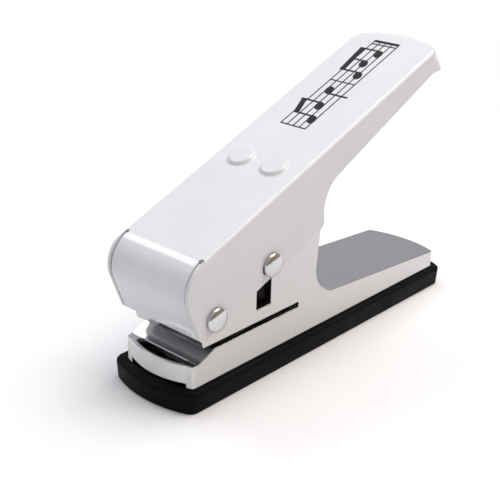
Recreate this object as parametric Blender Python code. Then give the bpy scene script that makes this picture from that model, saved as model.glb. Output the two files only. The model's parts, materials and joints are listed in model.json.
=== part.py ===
"""Hand-lever punch that cuts plectrums from plastic strip.

A plated casting stands in a soft tray. Its lower jaw carries a hardened die, its upper jaw
guides the punch, and the sheet-steel handle turns on a pin at the front and pushes the punch
down with a second pin. X runs across the tool, +Y to its back, +Z up. The origin lies on the
table, straight under the punch.
"""
import math

import bmesh
import bpy
from mathutils import Matrix

MM = 0.001

# Clearances and cutting
FIT_GAP = 0.3 * MM            # between pieces that touch
SLIDE_GAP = 0.25 * MM         # round the punch in its guide
DIE_GAP = 0.2 * MM            # round the punch in the die
OVERRUN = 2.0 * MM            # how far a cutter runs past what it cuts
CURVE_STEPS = 10

# Plectrum outline that the punch cuts
PICK_WIDTH = 26.0 * MM
PICK_LENGTH = 30.5 * MM
PICK_TIP_RADIUS = 3.0 * MM
PICK_SHOULDER_RADIUS = 7.4 * MM
PICK_SIDE_RADIUS = 60.0 * MM
PICK_END_RADIUS = 30.0 * MM

# Tray
TRAY_FLOOR = 1.6 * MM
TRAY_LEDGE_RISE = 1.6 * MM    # ledge above the floor, which carries the casting
TRAY_LEDGE_WIDTH = 2.0 * MM
TRAY_RIM_RISE = 4.4 * MM      # rim above the ledge
TRAY_RIM_STEP = 0.4 * MM
TRAY_RIM_STEP_WIDTH = 0.9 * MM
TRAY_SIDE_WALL = 3.0 * MM
TRAY_FRONT_WALL = 3.6 * MM
TRAY_FRONT_RADIUS = 42.0 * MM
TRAY_TAPER = 0.4 * MM         # the wall leans out by this towards the rim
TRAY_EDGE_RADIUS = 1.3 * MM
TRAY_CORNER = 4.0 * MM
TRAY_POCKET_CORNER = 0.8 * MM

# Casting: lower jaw, lip and deck
JAW_SIDE_WALL = 2.1 * MM      # metal beside the widest part of the plectrum
LIP_HEIGHT = 11.1 * MM
JAW_HEIGHT = 14.2 * MM
JAW_SKIN = 3.0 * MM           # metal over the die's flange
CAVITY_WALL = 1.8 * MM
LIP_WALL = 1.3 * MM
RAMP_FOOT_Y = -29.7 * MM
LIP_CORNER_Y = -31.7 * MM
LIP_BULGE = 3.3 * MM
FACET_WIDTH = 2.8 * MM
FACET_DEPTH = 0.5 * MM
CORNER_BREAK_WIDTH = 0.4 * MM # chamfer between facet and side
CORNER_BREAK_LENGTH = 1.2 * MM
MOUTH_HALF_WIDTH = 10.4 * MM
RAMP_LENGTH = 7.0 * MM
RAMP_SKIN = 2.0 * MM
THROAT_HEIGHT = 1.9 * MM
THROAT_BACK = 2.2 * MM        # throat behind the plectrum's square end
DECK_SKIN = 1.8 * MM
DECK_START_Z = 18.0 * MM
DECK_END_Z = 13.2 * MM
DECK_CORNER_Y = 97.6 * MM
DECK_BULGE = 3.4 * MM
DECK_CORNER_RADIUS = 1.6 * MM
LIP_SHADOW_GAP = 0.5 * MM     # lip's lower edge above the tray's rim

# Casting: upper jaw and ears
GUIDE_HEIGHT = 14.4 * MM
JAW_FRONT_Y = -27.3 * MM
NOSE_RADIUS = 5.0 * MM
EAR_THICKNESS = 1.7 * MM
EAR_PEAK_FRONT_Y = -6.0 * MM
EAR_PEAK_BACK_Y = 8.0 * MM
EAR_TOP_WEB = 3.0 * MM        # metal over the window
EAR_BACK_Y = 26.1 * MM
EAR_BACK_LEAN = 1.3 * MM
EAR_BACK_TOP_DROP = 3.0 * MM
EAR_FILLET = 11.0 * MM
WINDOW_WIDTH = 7.0 * MM
WINDOW_SILL = 4.4 * MM        # metal between the throat and the window
PIVOT_BLOCK_BACK = 5.3 * MM   # metal behind the pivot axis
SEAT_BLOCK_DEPTH = 8.6 * MM

# Lever geometry
PIVOT_Y = -24.8 * MM
PIVOT_RISE = 10.1 * MM        # pivot above the upper jaw's lower face
DRIVER_RISE = 10.1 * MM       # driver pin above the pivot at rest
PUNCH_STROKE = 10.0 * MM
HANDLE_SLOPE = 21.4           # degrees from the table at rest

# Handle
HANDLE_SHEET = 1.2 * MM
HANDLE_SIDE_GAP = 1.45 * MM   # between the casting and the handle's wall
HANDLE_TOP = 20.45 * MM       # outer top face over the pivot, square to the handle
HANDLE_FRONT = 7.9 * MM       # outer flap face in front of the pivot
HANDLE_BEND = 10.5 * MM       # radius of the side walls' upper front corner
FLAP_RECESS = 0.15 * MM       # flap behind the front edges of the side walls
FLAP_BEND = 10.9 * MM         # outer radius of the flap's bend
HANDLE_EDGE_BEND = 1.6 * MM   # outer radius of the long bends
HANDLE_SKIRT = 4.0 * MM       # side wall below the pivot
HANDLE_TOE_RADIUS = 2.0 * MM
HANDLE_HEEL = 53.4 * MM       # back of the deep side wall, from the pivot
HANDLE_HEEL_RADIUS = 2.5 * MM
HANDLE_NECK_RADIUS = 12.0 * MM
GRIP_START_DEPTH = 11.6 * MM  # depth of the grip's walls at the neck
GRIP_END_DEPTH = 7.3 * MM
HANDLE_END = 131.2 * MM       # far end of the grip, from the pivot
HANDLE_END_LEAN = 1.9 * MM    # the end wall leans out by this
HANDLE_END_RADIUS = 40.0 * MM
HANDLE_END_CORNER = 5.5 * MM
END_LIP_LENGTH = 11.5 * MM    # deeper wall round the far end
END_LIP_RUN = 6.0 * MM        # run over which it gets deeper
END_LIP_DEPTH = 8.5 * MM
SEAM_WIDTH = 1.3 * MM         # slit between flap and side wall at the top of the bend
SEAM_FOOT_WIDTH = 0.45 * MM   # the same below the bend
SEAM_END = 10.8 * MM          # from the front to the seam's relief hole
SEAM_RELIEF_RADIUS = 1.0 * MM
DRIVER_SLOT_PLAY = 0.35 * MM

# Spring pockets pressed into the handle's top
DIMPLE_ALONG = 47.6 * MM      # from the pivot along the handle
DIMPLE_ACROSS = 7.0 * MM
DIMPLE_RADIUS = 5.0 * MM
DIMPLE_CROWN_RADIUS = 3.9 * MM
DIMPLE_HEIGHT = 1.1 * MM
DIMPLE_SHOULDER_SHARE = 0.75  # height of the crown's shoulder, as a share of its height
POCKET_RADIUS = 4.15 * MM
POCKET_DEPTH = 1.0 * MM

# Pins, their heads and spacers
PIN_RADIUS = 2.0 * MM
HEAD_RADIUS = 4.0 * MM
HEAD_HEIGHT = 2.0 * MM
HEAD_EDGE = 0.5 * MM
PIN_TAIL = 1.3 * MM           # how far the pin goes into its cap
SPACER_THICKNESS = 0.9 * MM
SPACER_RADIUS = 3.9 * MM

# Punch and yoke
PUNCH_LIFT = 0.4 * MM         # punch face above the throat at rest
PUNCH_HEIGHT = 12.0 * MM
YOKE_BAR_HEIGHT = 8.0 * MM
YOKE_FOOT_WIDTH = 12.0 * MM
YOKE_FOOT_INSET = 2.5 * MM    # foot inside the plectrum's outline
YOKE_FOOT_THICKNESS = 3.0 * MM
PUNCH_SCREW_INSET = 8.25 * MM # screw axis in from the punch's ends
PUNCH_SCREW_DEPTH = 6.0 * MM

# Die and its screws
DIE_WALL = 1.0 * MM
DIE_FLANGE_THICKNESS = 2.0 * MM
DIE_FLANGE_FRONT_Y = -21.4 * MM
DIE_FLANGE_BACK_Y = 25.0 * MM
DIE_SCREW_X = 8.5 * MM
DIE_SCREW_EDGE = 3.6 * MM     # screw axis in from the flange's ends
DIE_SCREW_BITE = 2.3 * MM

# Screws used for both
SCREW_RADIUS = 1.5 * MM
SCREW_HEAD_RADIUS = 2.7 * MM
SCREW_HEAD_HEIGHT = 2.0 * MM

# Return springs and their posts
SPRING_LENGTH = 28.4 * MM
SPRING_RADIUS = 3.25 * MM     # to the middle of the wire
SPRING_WIRE = 1.0 * MM
SPRING_TURNS = 7
SPRING_END_PITCH_SHARE = 1.5  # pitch of the end turns, as a share of the wire
SPRING_POINTS_PER_TURN = 10
POST_RADIUS = 1.7 * MM
POST_HEIGHT = 7.0 * MM
POST_ROOT = 4.0 * MM

# Places worked out from the sizes
HALF_WIDTH = PICK_WIDTH / 2 + JAW_SIDE_WALL
LEDGE_Z = TRAY_FLOOR + TRAY_LEDGE_RISE
FOOT_Z = LEDGE_Z + FIT_GAP
RIM_Z = LEDGE_Z + TRAY_RIM_RISE
LIP_Z = FOOT_Z + LIP_HEIGHT
JAW_Z = FOOT_Z + JAW_HEIGHT
UPPER_Z = JAW_Z + THROAT_HEIGHT
GUIDE_Z = UPPER_Z + GUIDE_HEIGHT
THROAT_END_Y = PICK_LENGTH / 2 + THROAT_BACK
LIP_APEX_Y = LIP_CORNER_Y - LIP_BULGE
FACET_X = HALF_WIDTH - FACET_WIDTH
LIP_SAGITTA = LIP_BULGE - FACET_DEPTH
LIP_ARC_RADIUS = (FACET_X ** 2 + LIP_SAGITTA ** 2) / (2 * LIP_SAGITTA)
POCKET_ARC_RADIUS = (HALF_WIDTH ** 2 + LIP_BULGE ** 2) / (2 * LIP_BULGE)
DECK_APEX_Y = DECK_CORNER_Y + DECK_BULGE
DECK_ARC_RADIUS = (HALF_WIDTH ** 2 + DECK_BULGE ** 2) / (2 * DECK_BULGE)
PIVOT_Z = UPPER_Z + PIVOT_RISE
DRIVER_Z = PIVOT_Z + DRIVER_RISE
SLOPE = math.radians(HANDLE_SLOPE)
HANDLE_INNER = HALF_WIDTH + HANDLE_SIDE_GAP
HANDLE_OUTER = HANDLE_INNER + HANDLE_SHEET
HANDLE_UNDER = HANDLE_TOP - HANDLE_SHEET
WINDOW_BOTTOM_Z = UPPER_Z + WINDOW_SILL
WINDOW_TOP_Z = DRIVER_Z + YOKE_BAR_HEIGHT / 2 + FIT_GAP
EAR_TOP_Z = WINDOW_TOP_Z + EAR_TOP_WEB
SPRING_TOP = HANDLE_UNDER + POCKET_DEPTH - FIT_GAP
SEAT_LEVEL = SPRING_TOP - SPRING_LENGTH - FIT_GAP
DIE_FLANGE_Z = JAW_Z - JAW_SKIN - FIT_GAP - DIE_FLANGE_THICKNESS
CAVITY_Z = JAW_Z - JAW_SKIN


def clear_scene():
    for item in list(bpy.data.objects):
        bpy.data.objects.remove(item)


def material(name, colour, roughness, metallic):
    made = bpy.data.materials.new(name)
    made.use_nodes = True
    shader = made.node_tree.nodes["Principled BSDF"]
    shader.inputs["Base Color"].default_value = (*colour, 1)
    shader.inputs["Roughness"].default_value = roughness
    shader.inputs["Metallic"].default_value = metallic
    return made


def add_object(name, shape, finish=None, location=(0, 0, 0), tilt=0):
    """Make an object from a bmesh; tilt turns it about X."""
    bmesh.ops.recalc_face_normals(shape, faces=shape.faces)
    mesh = bpy.data.meshes.new(name)
    shape.to_mesh(mesh)
    shape.free()
    made = bpy.data.objects.new(name, mesh)
    bpy.context.collection.objects.link(made)
    made.location = location
    made.rotation_euler = (tilt, 0, 0)
    if finish:
        mesh.materials.append(finish)
        mesh.shade_smooth()
        mesh.set_sharp_from_angle(angle=math.radians(30))
    return made


def modify(target, tool, operation):
    """Combine target with a hidden tool body."""
    step = target.modifiers.new(tool.name, "BOOLEAN")
    step.operation = operation
    step.solver = "EXACT"
    step.object = tool
    tool.hide_render = True
    tool.display_type = "WIRE"


def arc(centre, radius, start, end, steps=CURVE_STEPS):
    """Points on a circle from one angle to another, in degrees."""
    angles = [math.radians(start + (end - start) * i / steps) for i in range(steps + 1)]
    return [(centre[0] + radius * math.cos(a), centre[1] + radius * math.sin(a)) for a in angles]


def loft(rings):
    """Closed body through rings of points that have the same count, capped at both ends."""
    shape = bmesh.new()
    loops = [[shape.verts.new(point) for point in ring] for ring in rings]
    count = len(loops[0])
    for low, high in zip(loops, loops[1:]):
        for i in range(count):
            j = (i + 1) % count
            shape.faces.new((low[i], low[j], high[j], high[i]))
    shape.faces.new(list(reversed(loops[0])))
    shape.faces.new(loops[-1])
    return shape


def across(outline, half_width):
    """Body with a side outline of (y, z) points, as wide as twice half_width."""
    return loft([[(x, y, z) for y, z in outline] for x in (-half_width, half_width)])


def upright(outline, low, high):
    """Body with a plan outline of (x, y) points."""
    return loft([[(x, y, z) for x, y in outline] for z in (low, high)])


def turned(profile, steps=32):
    """Body turned about Z from (radius, z) points, from one pole to the other."""
    rings = [[(r * math.cos(math.tau * i / steps), r * math.sin(math.tau * i / steps), z)
              for i in range(steps)] for r, z in profile]
    return loft(rings)


def swing(shape, angle, axis):
    """Turn a bmesh about a main axis; the angle is in degrees."""
    turn = Matrix.Rotation(math.radians(angle), 3, axis)
    bmesh.ops.rotate(shape, cent=(0, 0, 0), matrix=turn, verts=shape.verts)
    return shape


def shift(shape, offset):
    bmesh.ops.translate(shape, vec=offset, verts=shape.verts)
    return shape


def pick_outline(grow=0):
    """The plectrum's outline in plan, its tip towards the front, grown evenly outwards.

    Four kinds of arc run into each other: tip, side, shoulder and square end.
    """
    tip = (0, PICK_TIP_RADIUS - PICK_LENGTH / 2)
    end = (0, PICK_LENGTH / 2 - PICK_END_RADIUS)
    shoulder_x = PICK_WIDTH / 2 - PICK_SHOULDER_RADIUS
    reach = PICK_END_RADIUS - PICK_SHOULDER_RADIUS
    shoulder = (shoulder_x, end[1] + math.sqrt(reach ** 2 - shoulder_x ** 2))
    to_tip = PICK_SIDE_RADIUS - PICK_TIP_RADIUS
    to_shoulder = PICK_SIDE_RADIUS - PICK_SHOULDER_RADIUS
    gap_x, gap_y = shoulder[0] - tip[0], shoulder[1] - tip[1]
    span = math.hypot(gap_x, gap_y)
    along = (to_tip ** 2 - to_shoulder ** 2 + span ** 2) / (2 * span)
    aside = math.sqrt(to_tip ** 2 - along ** 2)
    side = (tip[0] + (along * gap_x - aside * gap_y) / span,
            tip[1] + (along * gap_y + aside * gap_x) / span)
    at_tip = math.degrees(math.atan2(tip[1] - side[1], tip[0] - side[0]))
    at_shoulder = math.degrees(math.atan2(shoulder[1] - side[1], shoulder[0] - side[0]))
    at_end = math.degrees(math.atan2(shoulder[1] - end[1], shoulder[0] - end[0]))
    far_side = (-side[0], side[1])
    far_shoulder = (-shoulder[0], shoulder[1])
    runs = [(tip, PICK_TIP_RADIUS, -180 - at_tip, at_tip),
            (side, PICK_SIDE_RADIUS, at_tip, at_shoulder),
            (shoulder, PICK_SHOULDER_RADIUS, at_shoulder, at_end),
            (end, PICK_END_RADIUS, at_end, 180 - at_end),
            (far_shoulder, PICK_SHOULDER_RADIUS, 180 - at_end, 180 - at_shoulder),
            (far_side, PICK_SIDE_RADIUS, 180 - at_shoulder, 180 - at_tip)]
    return [point for centre, radius, start, stop in runs
            for point in arc(centre, radius + grow, start, stop, CURVE_STEPS)[:-1]]


def end_arc(half_width, radius, apex_y, corner, back):
    """Bowed end with rounded corners, points running counter-clockwise seen from above."""
    reach = math.sqrt((radius - corner) ** 2 - (half_width - corner) ** 2)
    lean = math.degrees(math.atan2(reach, half_width - corner))
    if back:
        bow = (0, apex_y - radius)
        right = (half_width - corner, bow[1] + reach)
        start = 0
    else:
        bow = (0, apex_y + radius)
        right = (corner - half_width, bow[1] - reach)
        start = 180
    left = (-right[0], right[1])
    return (arc(right, corner, start, start + lean)
            + arc(bow, radius, start + lean, start + 180 - lean)[1:-1]
            + arc(left, corner, start + 180 - lean, start + 180))


def place_on_handle(along, above):
    """World (y, z) of a point given along the handle from the pivot and square above it."""
    return (PIVOT_Y + along * math.cos(SLOPE) - above * math.sin(SLOPE),
            PIVOT_Z + along * math.sin(SLOPE) + above * math.cos(SLOPE))


def deck_z(y):
    """Height of the deck's sloping face."""
    start_y = EAR_BACK_Y + EAR_FILLET
    return DECK_START_Z + (DECK_END_Z - DECK_START_Z) * (y - start_y) / (DECK_CORNER_Y - start_y)


def seat_z(y):
    """Height of the springs' seat, which lies parallel to the handle."""
    seat_y, middle_z = place_on_handle(DIMPLE_ALONG, SEAT_LEVEL)
    return middle_z + (y - seat_y) * math.tan(SLOPE)


def casting_plan():
    """Outer plan of the casting: a bowed lip between two facets, and a bowed back end."""
    bow = (0, LIP_APEX_Y + LIP_ARC_RADIUS)
    half = math.degrees(math.asin(FACET_X / LIP_ARC_RADIUS))
    front = arc(bow, LIP_ARC_RADIUS, 270 - half, 270 + half)
    corner = [(HALF_WIDTH - CORNER_BREAK_WIDTH, LIP_CORNER_Y),
              (HALF_WIDTH, LIP_CORNER_Y + CORNER_BREAK_LENGTH)]
    back = end_arc(HALF_WIDTH, DECK_ARC_RADIUS, DECK_APEX_Y, DECK_CORNER_RADIUS, True)
    return [(-x, y) for x, y in reversed(corner)] + front + corner + back


def casting_side():
    """Side outline of the casting, with the throat between its jaws."""
    nose = arc((PIVOT_Y, PIVOT_Z), NOSE_RADIUS, 195, 115)
    fillet_centre = (EAR_BACK_Y + EAR_FILLET, DECK_START_Z + EAR_FILLET)
    fillet = arc(fillet_centre, EAR_FILLET, 180, 270)
    back_y = DECK_APEX_Y + OVERRUN
    front_y = LIP_APEX_Y - OVERRUN
    outline = [(front_y, FOOT_Z), (front_y, LIP_Z), (RAMP_FOOT_Y, LIP_Z),
               (RAMP_FOOT_Y + RAMP_LENGTH, JAW_Z), (THROAT_END_Y, JAW_Z),
               (THROAT_END_Y, UPPER_Z), (JAW_FRONT_Y, UPPER_Z)]
    outline += nose
    outline += [(EAR_PEAK_FRONT_Y, EAR_TOP_Z), (EAR_PEAK_BACK_Y, EAR_TOP_Z),
                (EAR_BACK_Y + EAR_BACK_LEAN, EAR_TOP_Z - EAR_BACK_TOP_DROP)]
    outline += fillet
    outline += [(back_y, deck_z(back_y)), (back_y, FOOT_Z)]
    return outline


def cavity_tool():
    """The hollow under the casting, open below."""
    half_width = HALF_WIDTH - CAVITY_WALL
    inner_radius = LIP_ARC_RADIUS - LIP_WALL
    bow = (0, LIP_APEX_Y + LIP_ARC_RADIUS)
    half = math.degrees(math.asin(half_width / inner_radius))
    plan = arc(bow, inner_radius, 270 - half, 270 + half)
    plan += end_arc(half_width, DECK_ARC_RADIUS - CAVITY_WALL, DECK_APEX_Y - CAVITY_WALL,
                    DECK_CORNER_RADIUS, True)
    deck_start = EAR_BACK_Y + EAR_FILLET
    low = FOOT_Z - OVERRUN
    front_y = LIP_APEX_Y
    side = [(front_y, low), (front_y, LIP_Z - RAMP_SKIN), (RAMP_FOOT_Y, LIP_Z - RAMP_SKIN),
            (RAMP_FOOT_Y + RAMP_LENGTH, CAVITY_Z), (deck_start, CAVITY_Z),
            (deck_start, deck_z(deck_start) - DECK_SKIN),
            (DECK_APEX_Y, deck_z(DECK_APEX_Y) - DECK_SKIN), (DECK_APEX_Y, low)]
    tool = add_object("cavity_tool", upright(plan, FOOT_Z - OVERRUN / 2, GUIDE_Z))
    trim = add_object("cavity_trim", across(side, HALF_WIDTH))
    modify(tool, trim, "INTERSECT")
    return tool


def crescent_tool():
    """The narrow moon-shaped mouth between the lip and the foot of the ramp, blunt at its ends."""
    inner_radius = LIP_ARC_RADIUS - LIP_WALL
    bow_y = LIP_APEX_Y + LIP_ARC_RADIUS
    half = math.degrees(math.asin(MOUTH_HALF_WIDTH / inner_radius))
    outline = arc((0, bow_y), inner_radius, 270 - half, 270 + half, 2 * CURVE_STEPS)
    outline += [(MOUTH_HALF_WIDTH, RAMP_FOOT_Y), (-MOUTH_HALF_WIDTH, RAMP_FOOT_Y)]
    return upright(outline, LIP_Z - RAMP_SKIN - OVERRUN / 2, LIP_Z + OVERRUN)


def box(x_limits, y_limits, z_limits):
    (x0, x1), (y0, y1), (z0, z1) = x_limits, y_limits, z_limits
    return upright([(x0, y0), (x1, y0), (x1, y1), (x0, y1)], z0, z1)


def cylinder(radius, low, high, steps=32):
    return turned([(radius, low), (radius, high)], steps)


def die_screw_places():
    front = DIE_FLANGE_FRONT_Y + DIE_SCREW_EDGE
    back = DIE_FLANGE_BACK_Y - DIE_SCREW_EDGE
    return [(x, y) for y in (front, back) for x in (-DIE_SCREW_X, DIE_SCREW_X)]


def spring_places():
    y, z = place_on_handle(DIMPLE_ALONG, SEAT_LEVEL)
    return {"left": (-DIMPLE_ACROSS, y, z), "right": (DIMPLE_ACROSS, y, z)}


def build_casting(plating):
    casting = add_object("frame_casting", across(casting_side(), HALF_WIDTH), plating)
    plan = add_object("plan_trim", upright(casting_plan(), FOOT_Z - OVERRUN, EAR_TOP_Z + OVERRUN))
    modify(casting, plan, "INTERSECT")
    modify(casting, cavity_tool(), "DIFFERENCE")
    modify(casting, add_object("crescent_tool", crescent_tool()), "DIFFERENCE")
    notch = box((-FACET_X, FACET_X), (LIP_APEX_Y - OVERRUN, LIP_CORNER_Y + CORNER_BREAK_LENGTH),
                (FOOT_Z - OVERRUN, RIM_Z + LIP_SHADOW_GAP))
    modify(casting, add_object("lip_notch_tool", notch), "DIFFERENCE")
    die_seat = upright(pick_outline(DIE_WALL + FIT_GAP), FOOT_Z - OVERRUN, JAW_Z + THROAT_HEIGHT / 2)
    modify(casting, add_object("die_seat_tool", die_seat), "DIFFERENCE")
    guide = upright(pick_outline(SLIDE_GAP), JAW_Z + THROAT_HEIGHT / 2, GUIDE_Z + OVERRUN)
    modify(casting, add_object("guide_tool", guide), "DIFFERENCE")
    well_front = PIVOT_Y + PIVOT_BLOCK_BACK
    well_back = EAR_BACK_Y - SEAT_BLOCK_DEPTH
    ceiling = EAR_TOP_Z + OVERRUN
    seat_end = EAR_BACK_Y + EAR_BACK_LEAN + OVERRUN
    well = across([(well_front, GUIDE_Z), (well_back, GUIDE_Z), (well_back, seat_z(well_back)),
                   (seat_end, seat_z(seat_end)), (seat_end, ceiling), (well_front, ceiling)],
                  HALF_WIDTH - EAR_THICKNESS)
    modify(casting, add_object("well_tool", well), "DIFFERENCE")
    window = box((-HALF_WIDTH - OVERRUN, HALF_WIDTH + OVERRUN),
                 (-WINDOW_WIDTH / 2, WINDOW_WIDTH / 2), (WINDOW_BOTTOM_Z, WINDOW_TOP_Z))
    modify(casting, add_object("window_tool", window), "DIFFERENCE")
    wide = HALF_WIDTH + OVERRUN
    pivot_hole = swing(cylinder(PIN_RADIUS + FIT_GAP, -wide, wide), 90, "Y")
    modify(casting, add_object("pivot_hole_tool", pivot_hole, location=(0, PIVOT_Y, PIVOT_Z)),
           "DIFFERENCE")
    for number, (x, y) in enumerate(die_screw_places()):
        hole = cylinder(SCREW_RADIUS + FIT_GAP, CAVITY_Z - OVERRUN,
                        CAVITY_Z + DIE_SCREW_BITE + FIT_GAP, 24)
        modify(casting, add_object(f"die_screw_tool_{number}", hole, location=(x, y, 0)),
               "DIFFERENCE")
    for side, place in spring_places().items():
        hole = cylinder(POST_RADIUS + FIT_GAP, -POST_ROOT - FIT_GAP, OVERRUN, 24)
        modify(casting, add_object(f"post_tool_{side}", hole, location=place, tilt=SLOPE),
               "DIFFERENCE")


def pocket_ring(grow, corner, z):
    """Outline round the casting's foot, grown evenly."""
    half_width = HALF_WIDTH + grow
    outline = end_arc(half_width, POCKET_ARC_RADIUS + grow, LIP_APEX_Y - grow, corner, False)
    outline += end_arc(half_width, DECK_ARC_RADIUS + grow, DECK_APEX_Y + grow, corner, True)
    return [(x, y, z) for x, y in outline]


def tray_ring(inset, z):
    """Outer outline of the tray, drawn in by inset."""
    side, front = TRAY_SIDE_WALL - inset, TRAY_FRONT_WALL - inset
    corner = TRAY_CORNER - inset
    half_width = HALF_WIDTH + side
    outline = end_arc(half_width, TRAY_FRONT_RADIUS - inset, LIP_APEX_Y - front, corner, False)
    outline += end_arc(half_width, DECK_ARC_RADIUS + side, DECK_APEX_Y + side, corner, True)
    return [(x, y, z) for x, y in outline]


def build_tray(rubber):
    """Soft tray: a tapered wall with a stepped rim, a ledge for the casting, and a floor."""
    step_z = RIM_Z - TRAY_RIM_STEP
    rings = [tray_ring(TRAY_TAPER + TRAY_EDGE_RADIUS / 2, 0),
             tray_ring(TRAY_TAPER, TRAY_EDGE_RADIUS / 2)]
    for angle in (0, 30, 60, 90):
        pull = TRAY_EDGE_RADIUS * (1 - math.cos(math.radians(angle)))
        drop = TRAY_EDGE_RADIUS * (1 - math.sin(math.radians(angle)))
        rings.append(tray_ring(pull, step_z - drop))
    upstand = FIT_GAP + TRAY_RIM_STEP_WIDTH
    ledge = FIT_GAP - TRAY_LEDGE_WIDTH
    corner = TRAY_POCKET_CORNER
    rings += [pocket_ring(upstand, corner + upstand, step_z),
              pocket_ring(upstand, corner + upstand, RIM_Z),
              pocket_ring(FIT_GAP, corner, RIM_Z),
              pocket_ring(FIT_GAP, corner, LEDGE_Z),
              pocket_ring(ledge, corner, LEDGE_Z),
              pocket_ring(ledge, corner, TRAY_FLOOR)]
    add_object("base_tray", loft(rings), rubber)


def build_die(steel, fastener):
    collar = upright(pick_outline(DIE_WALL), DIE_FLANGE_Z, JAW_Z)
    die = add_object("die_plate", collar, steel)
    half_width = HALF_WIDTH - CAVITY_WALL - FIT_GAP
    flange = box((-half_width, half_width), (DIE_FLANGE_FRONT_Y, DIE_FLANGE_BACK_Y),
                 (DIE_FLANGE_Z, DIE_FLANGE_Z + DIE_FLANGE_THICKNESS))
    modify(die, add_object("flange_tool", flange), "UNION")
    hole = upright(pick_outline(DIE_GAP), DIE_FLANGE_Z - OVERRUN, JAW_Z + OVERRUN)
    modify(die, add_object("die_hole_tool", hole), "DIFFERENCE")
    top = CAVITY_Z + DIE_SCREW_BITE
    seat = DIE_FLANGE_Z - FIT_GAP
    for number, (x, y) in enumerate(die_screw_places(), 1):
        clear = cylinder(SCREW_RADIUS + FIT_GAP, DIE_FLANGE_Z - OVERRUN, CAVITY_Z, 24)
        modify(die, add_object(f"flange_hole_tool_{number}", clear, location=(x, y, 0)),
               "DIFFERENCE")
        screw = turned([(SCREW_HEAD_RADIUS, seat - SCREW_HEAD_HEIGHT), (SCREW_HEAD_RADIUS, seat),
                        (SCREW_RADIUS, seat), (SCREW_RADIUS, top)], 20)
        add_object(f"die_screw_{number}", screw, fastener, location=(x, y, 0))


def build_punch(steel, black_steel, fastener):
    face = UPPER_Z + PUNCH_LIFT
    head_top = face + PUNCH_HEIGHT
    head = add_object("punch_head", upright(pick_outline(), face, head_top), steel)
    foot_z = head_top + FIT_GAP
    foot_top = foot_z + YOKE_FOOT_THICKNESS
    bar_low, bar_high = DRIVER_Z - YOKE_BAR_HEIGHT / 2, DRIVER_Z + YOKE_BAR_HEIGHT / 2
    bar_half = HALF_WIDTH - FIT_GAP
    neck = YOKE_FOOT_WIDTH / 2
    bar_width = WINDOW_WIDTH / 2 - FIT_GAP
    tee = [(-neck, foot_z), (neck, foot_z), (neck, bar_low), (bar_half, bar_low),
           (bar_half, bar_high), (-bar_half, bar_high), (-bar_half, bar_low), (-neck, bar_low)]
    yoke_body = loft([[(x, y, z) for x, z in tee] for y in (-bar_width, bar_width)])
    yoke = add_object("punch_yoke", yoke_body, black_steel)
    foot = upright(pick_outline(-YOKE_FOOT_INSET), foot_z, foot_top)
    modify(yoke, add_object("foot_tool", foot), "UNION")
    hole = swing(cylinder(PIN_RADIUS + FIT_GAP, -HALF_WIDTH - OVERRUN, HALF_WIDTH + OVERRUN), 90, "Y")
    modify(yoke, add_object("driver_hole_tool", hole, location=(0, 0, DRIVER_Z)), "DIFFERENCE")
    tip_z = head_top - PUNCH_SCREW_DEPTH
    seat = foot_top + FIT_GAP
    reach = PICK_LENGTH / 2 - PUNCH_SCREW_INSET
    for number, y in enumerate((-reach, reach), 1):
        bore = cylinder(SCREW_RADIUS + FIT_GAP, tip_z - FIT_GAP, seat + OVERRUN, 24)
        tool = add_object(f"punch_screw_tool_{number}", bore, location=(0, y, 0))
        modify(head, tool, "DIFFERENCE")
        modify(yoke, tool, "DIFFERENCE")
        screw = turned([(SCREW_RADIUS, tip_z), (SCREW_RADIUS, seat), (SCREW_HEAD_RADIUS, seat),
                        (SCREW_HEAD_RADIUS, seat + SCREW_HEAD_HEIGHT)], 20)
        add_object(f"punch_screw_{number}", screw, fastener, location=(0, y, 0))


def dome(start):
    """Profile of a rivet head above its flat underside, from the rim to the crown."""
    rise = HEAD_HEIGHT - HEAD_EDGE
    quarter = arc((0, 0), 1, 0, 75, 5)
    crown = [(HEAD_RADIUS * x, start + HEAD_EDGE + rise * z) for x, z in quarter]
    return [(HEAD_RADIUS, start)] + crown + [(HEAD_RADIUS / 10, start + HEAD_HEIGHT)]


def build_pin(name, y, z, chrome, nylon):
    """A domed pin through the handle's walls, its cap on the far end, and two spacers."""
    under_head = HANDLE_OUTER + FIT_GAP
    tail = -under_head - PIN_TAIL
    pin = turned([(PIN_RADIUS, tail), (PIN_RADIUS, under_head)] + dome(under_head))
    add_object(name, swing(pin, 90, "Y"), chrome, location=(0, y, z))
    bore = PIN_RADIUS + FIT_GAP
    cap = turned([(bore, under_head + PIN_TAIL + FIT_GAP), (bore, under_head)] + dome(under_head))
    add_object(f"{name}_cap", swing(cap, -90, "Y"), chrome, location=(0, y, z))
    middle = HALF_WIDTH + HANDLE_SIDE_GAP / 2
    for side, sign in (("left", -1), ("right", 1)):
        ring = washer(bore, SPACER_RADIUS, SPACER_THICKNESS)
        add_object(f"{name.replace('_pin', '')}_spacer_{side}", swing(ring, 90, "Y"), nylon,
                   location=(sign * middle, y, z))


def washer(inner, outer, thickness, steps=32):
    """Flat ring centred on the origin."""
    shape = bmesh.new()
    half = thickness / 2
    corners = [(inner, -half), (outer, -half), (outer, half), (inner, half)]
    loops = []
    for radius, z in corners:
        loops.append([shape.verts.new((radius * math.cos(math.tau * i / steps),
                                       radius * math.sin(math.tau * i / steps), z))
                      for i in range(steps)])
    for number, loop in enumerate(loops):
        following = loops[(number + 1) % len(loops)]
        for i in range(steps):
            j = (i + 1) % steps
            shape.faces.new((loop[i], loop[j], following[j], following[i]))
    return shape


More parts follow.
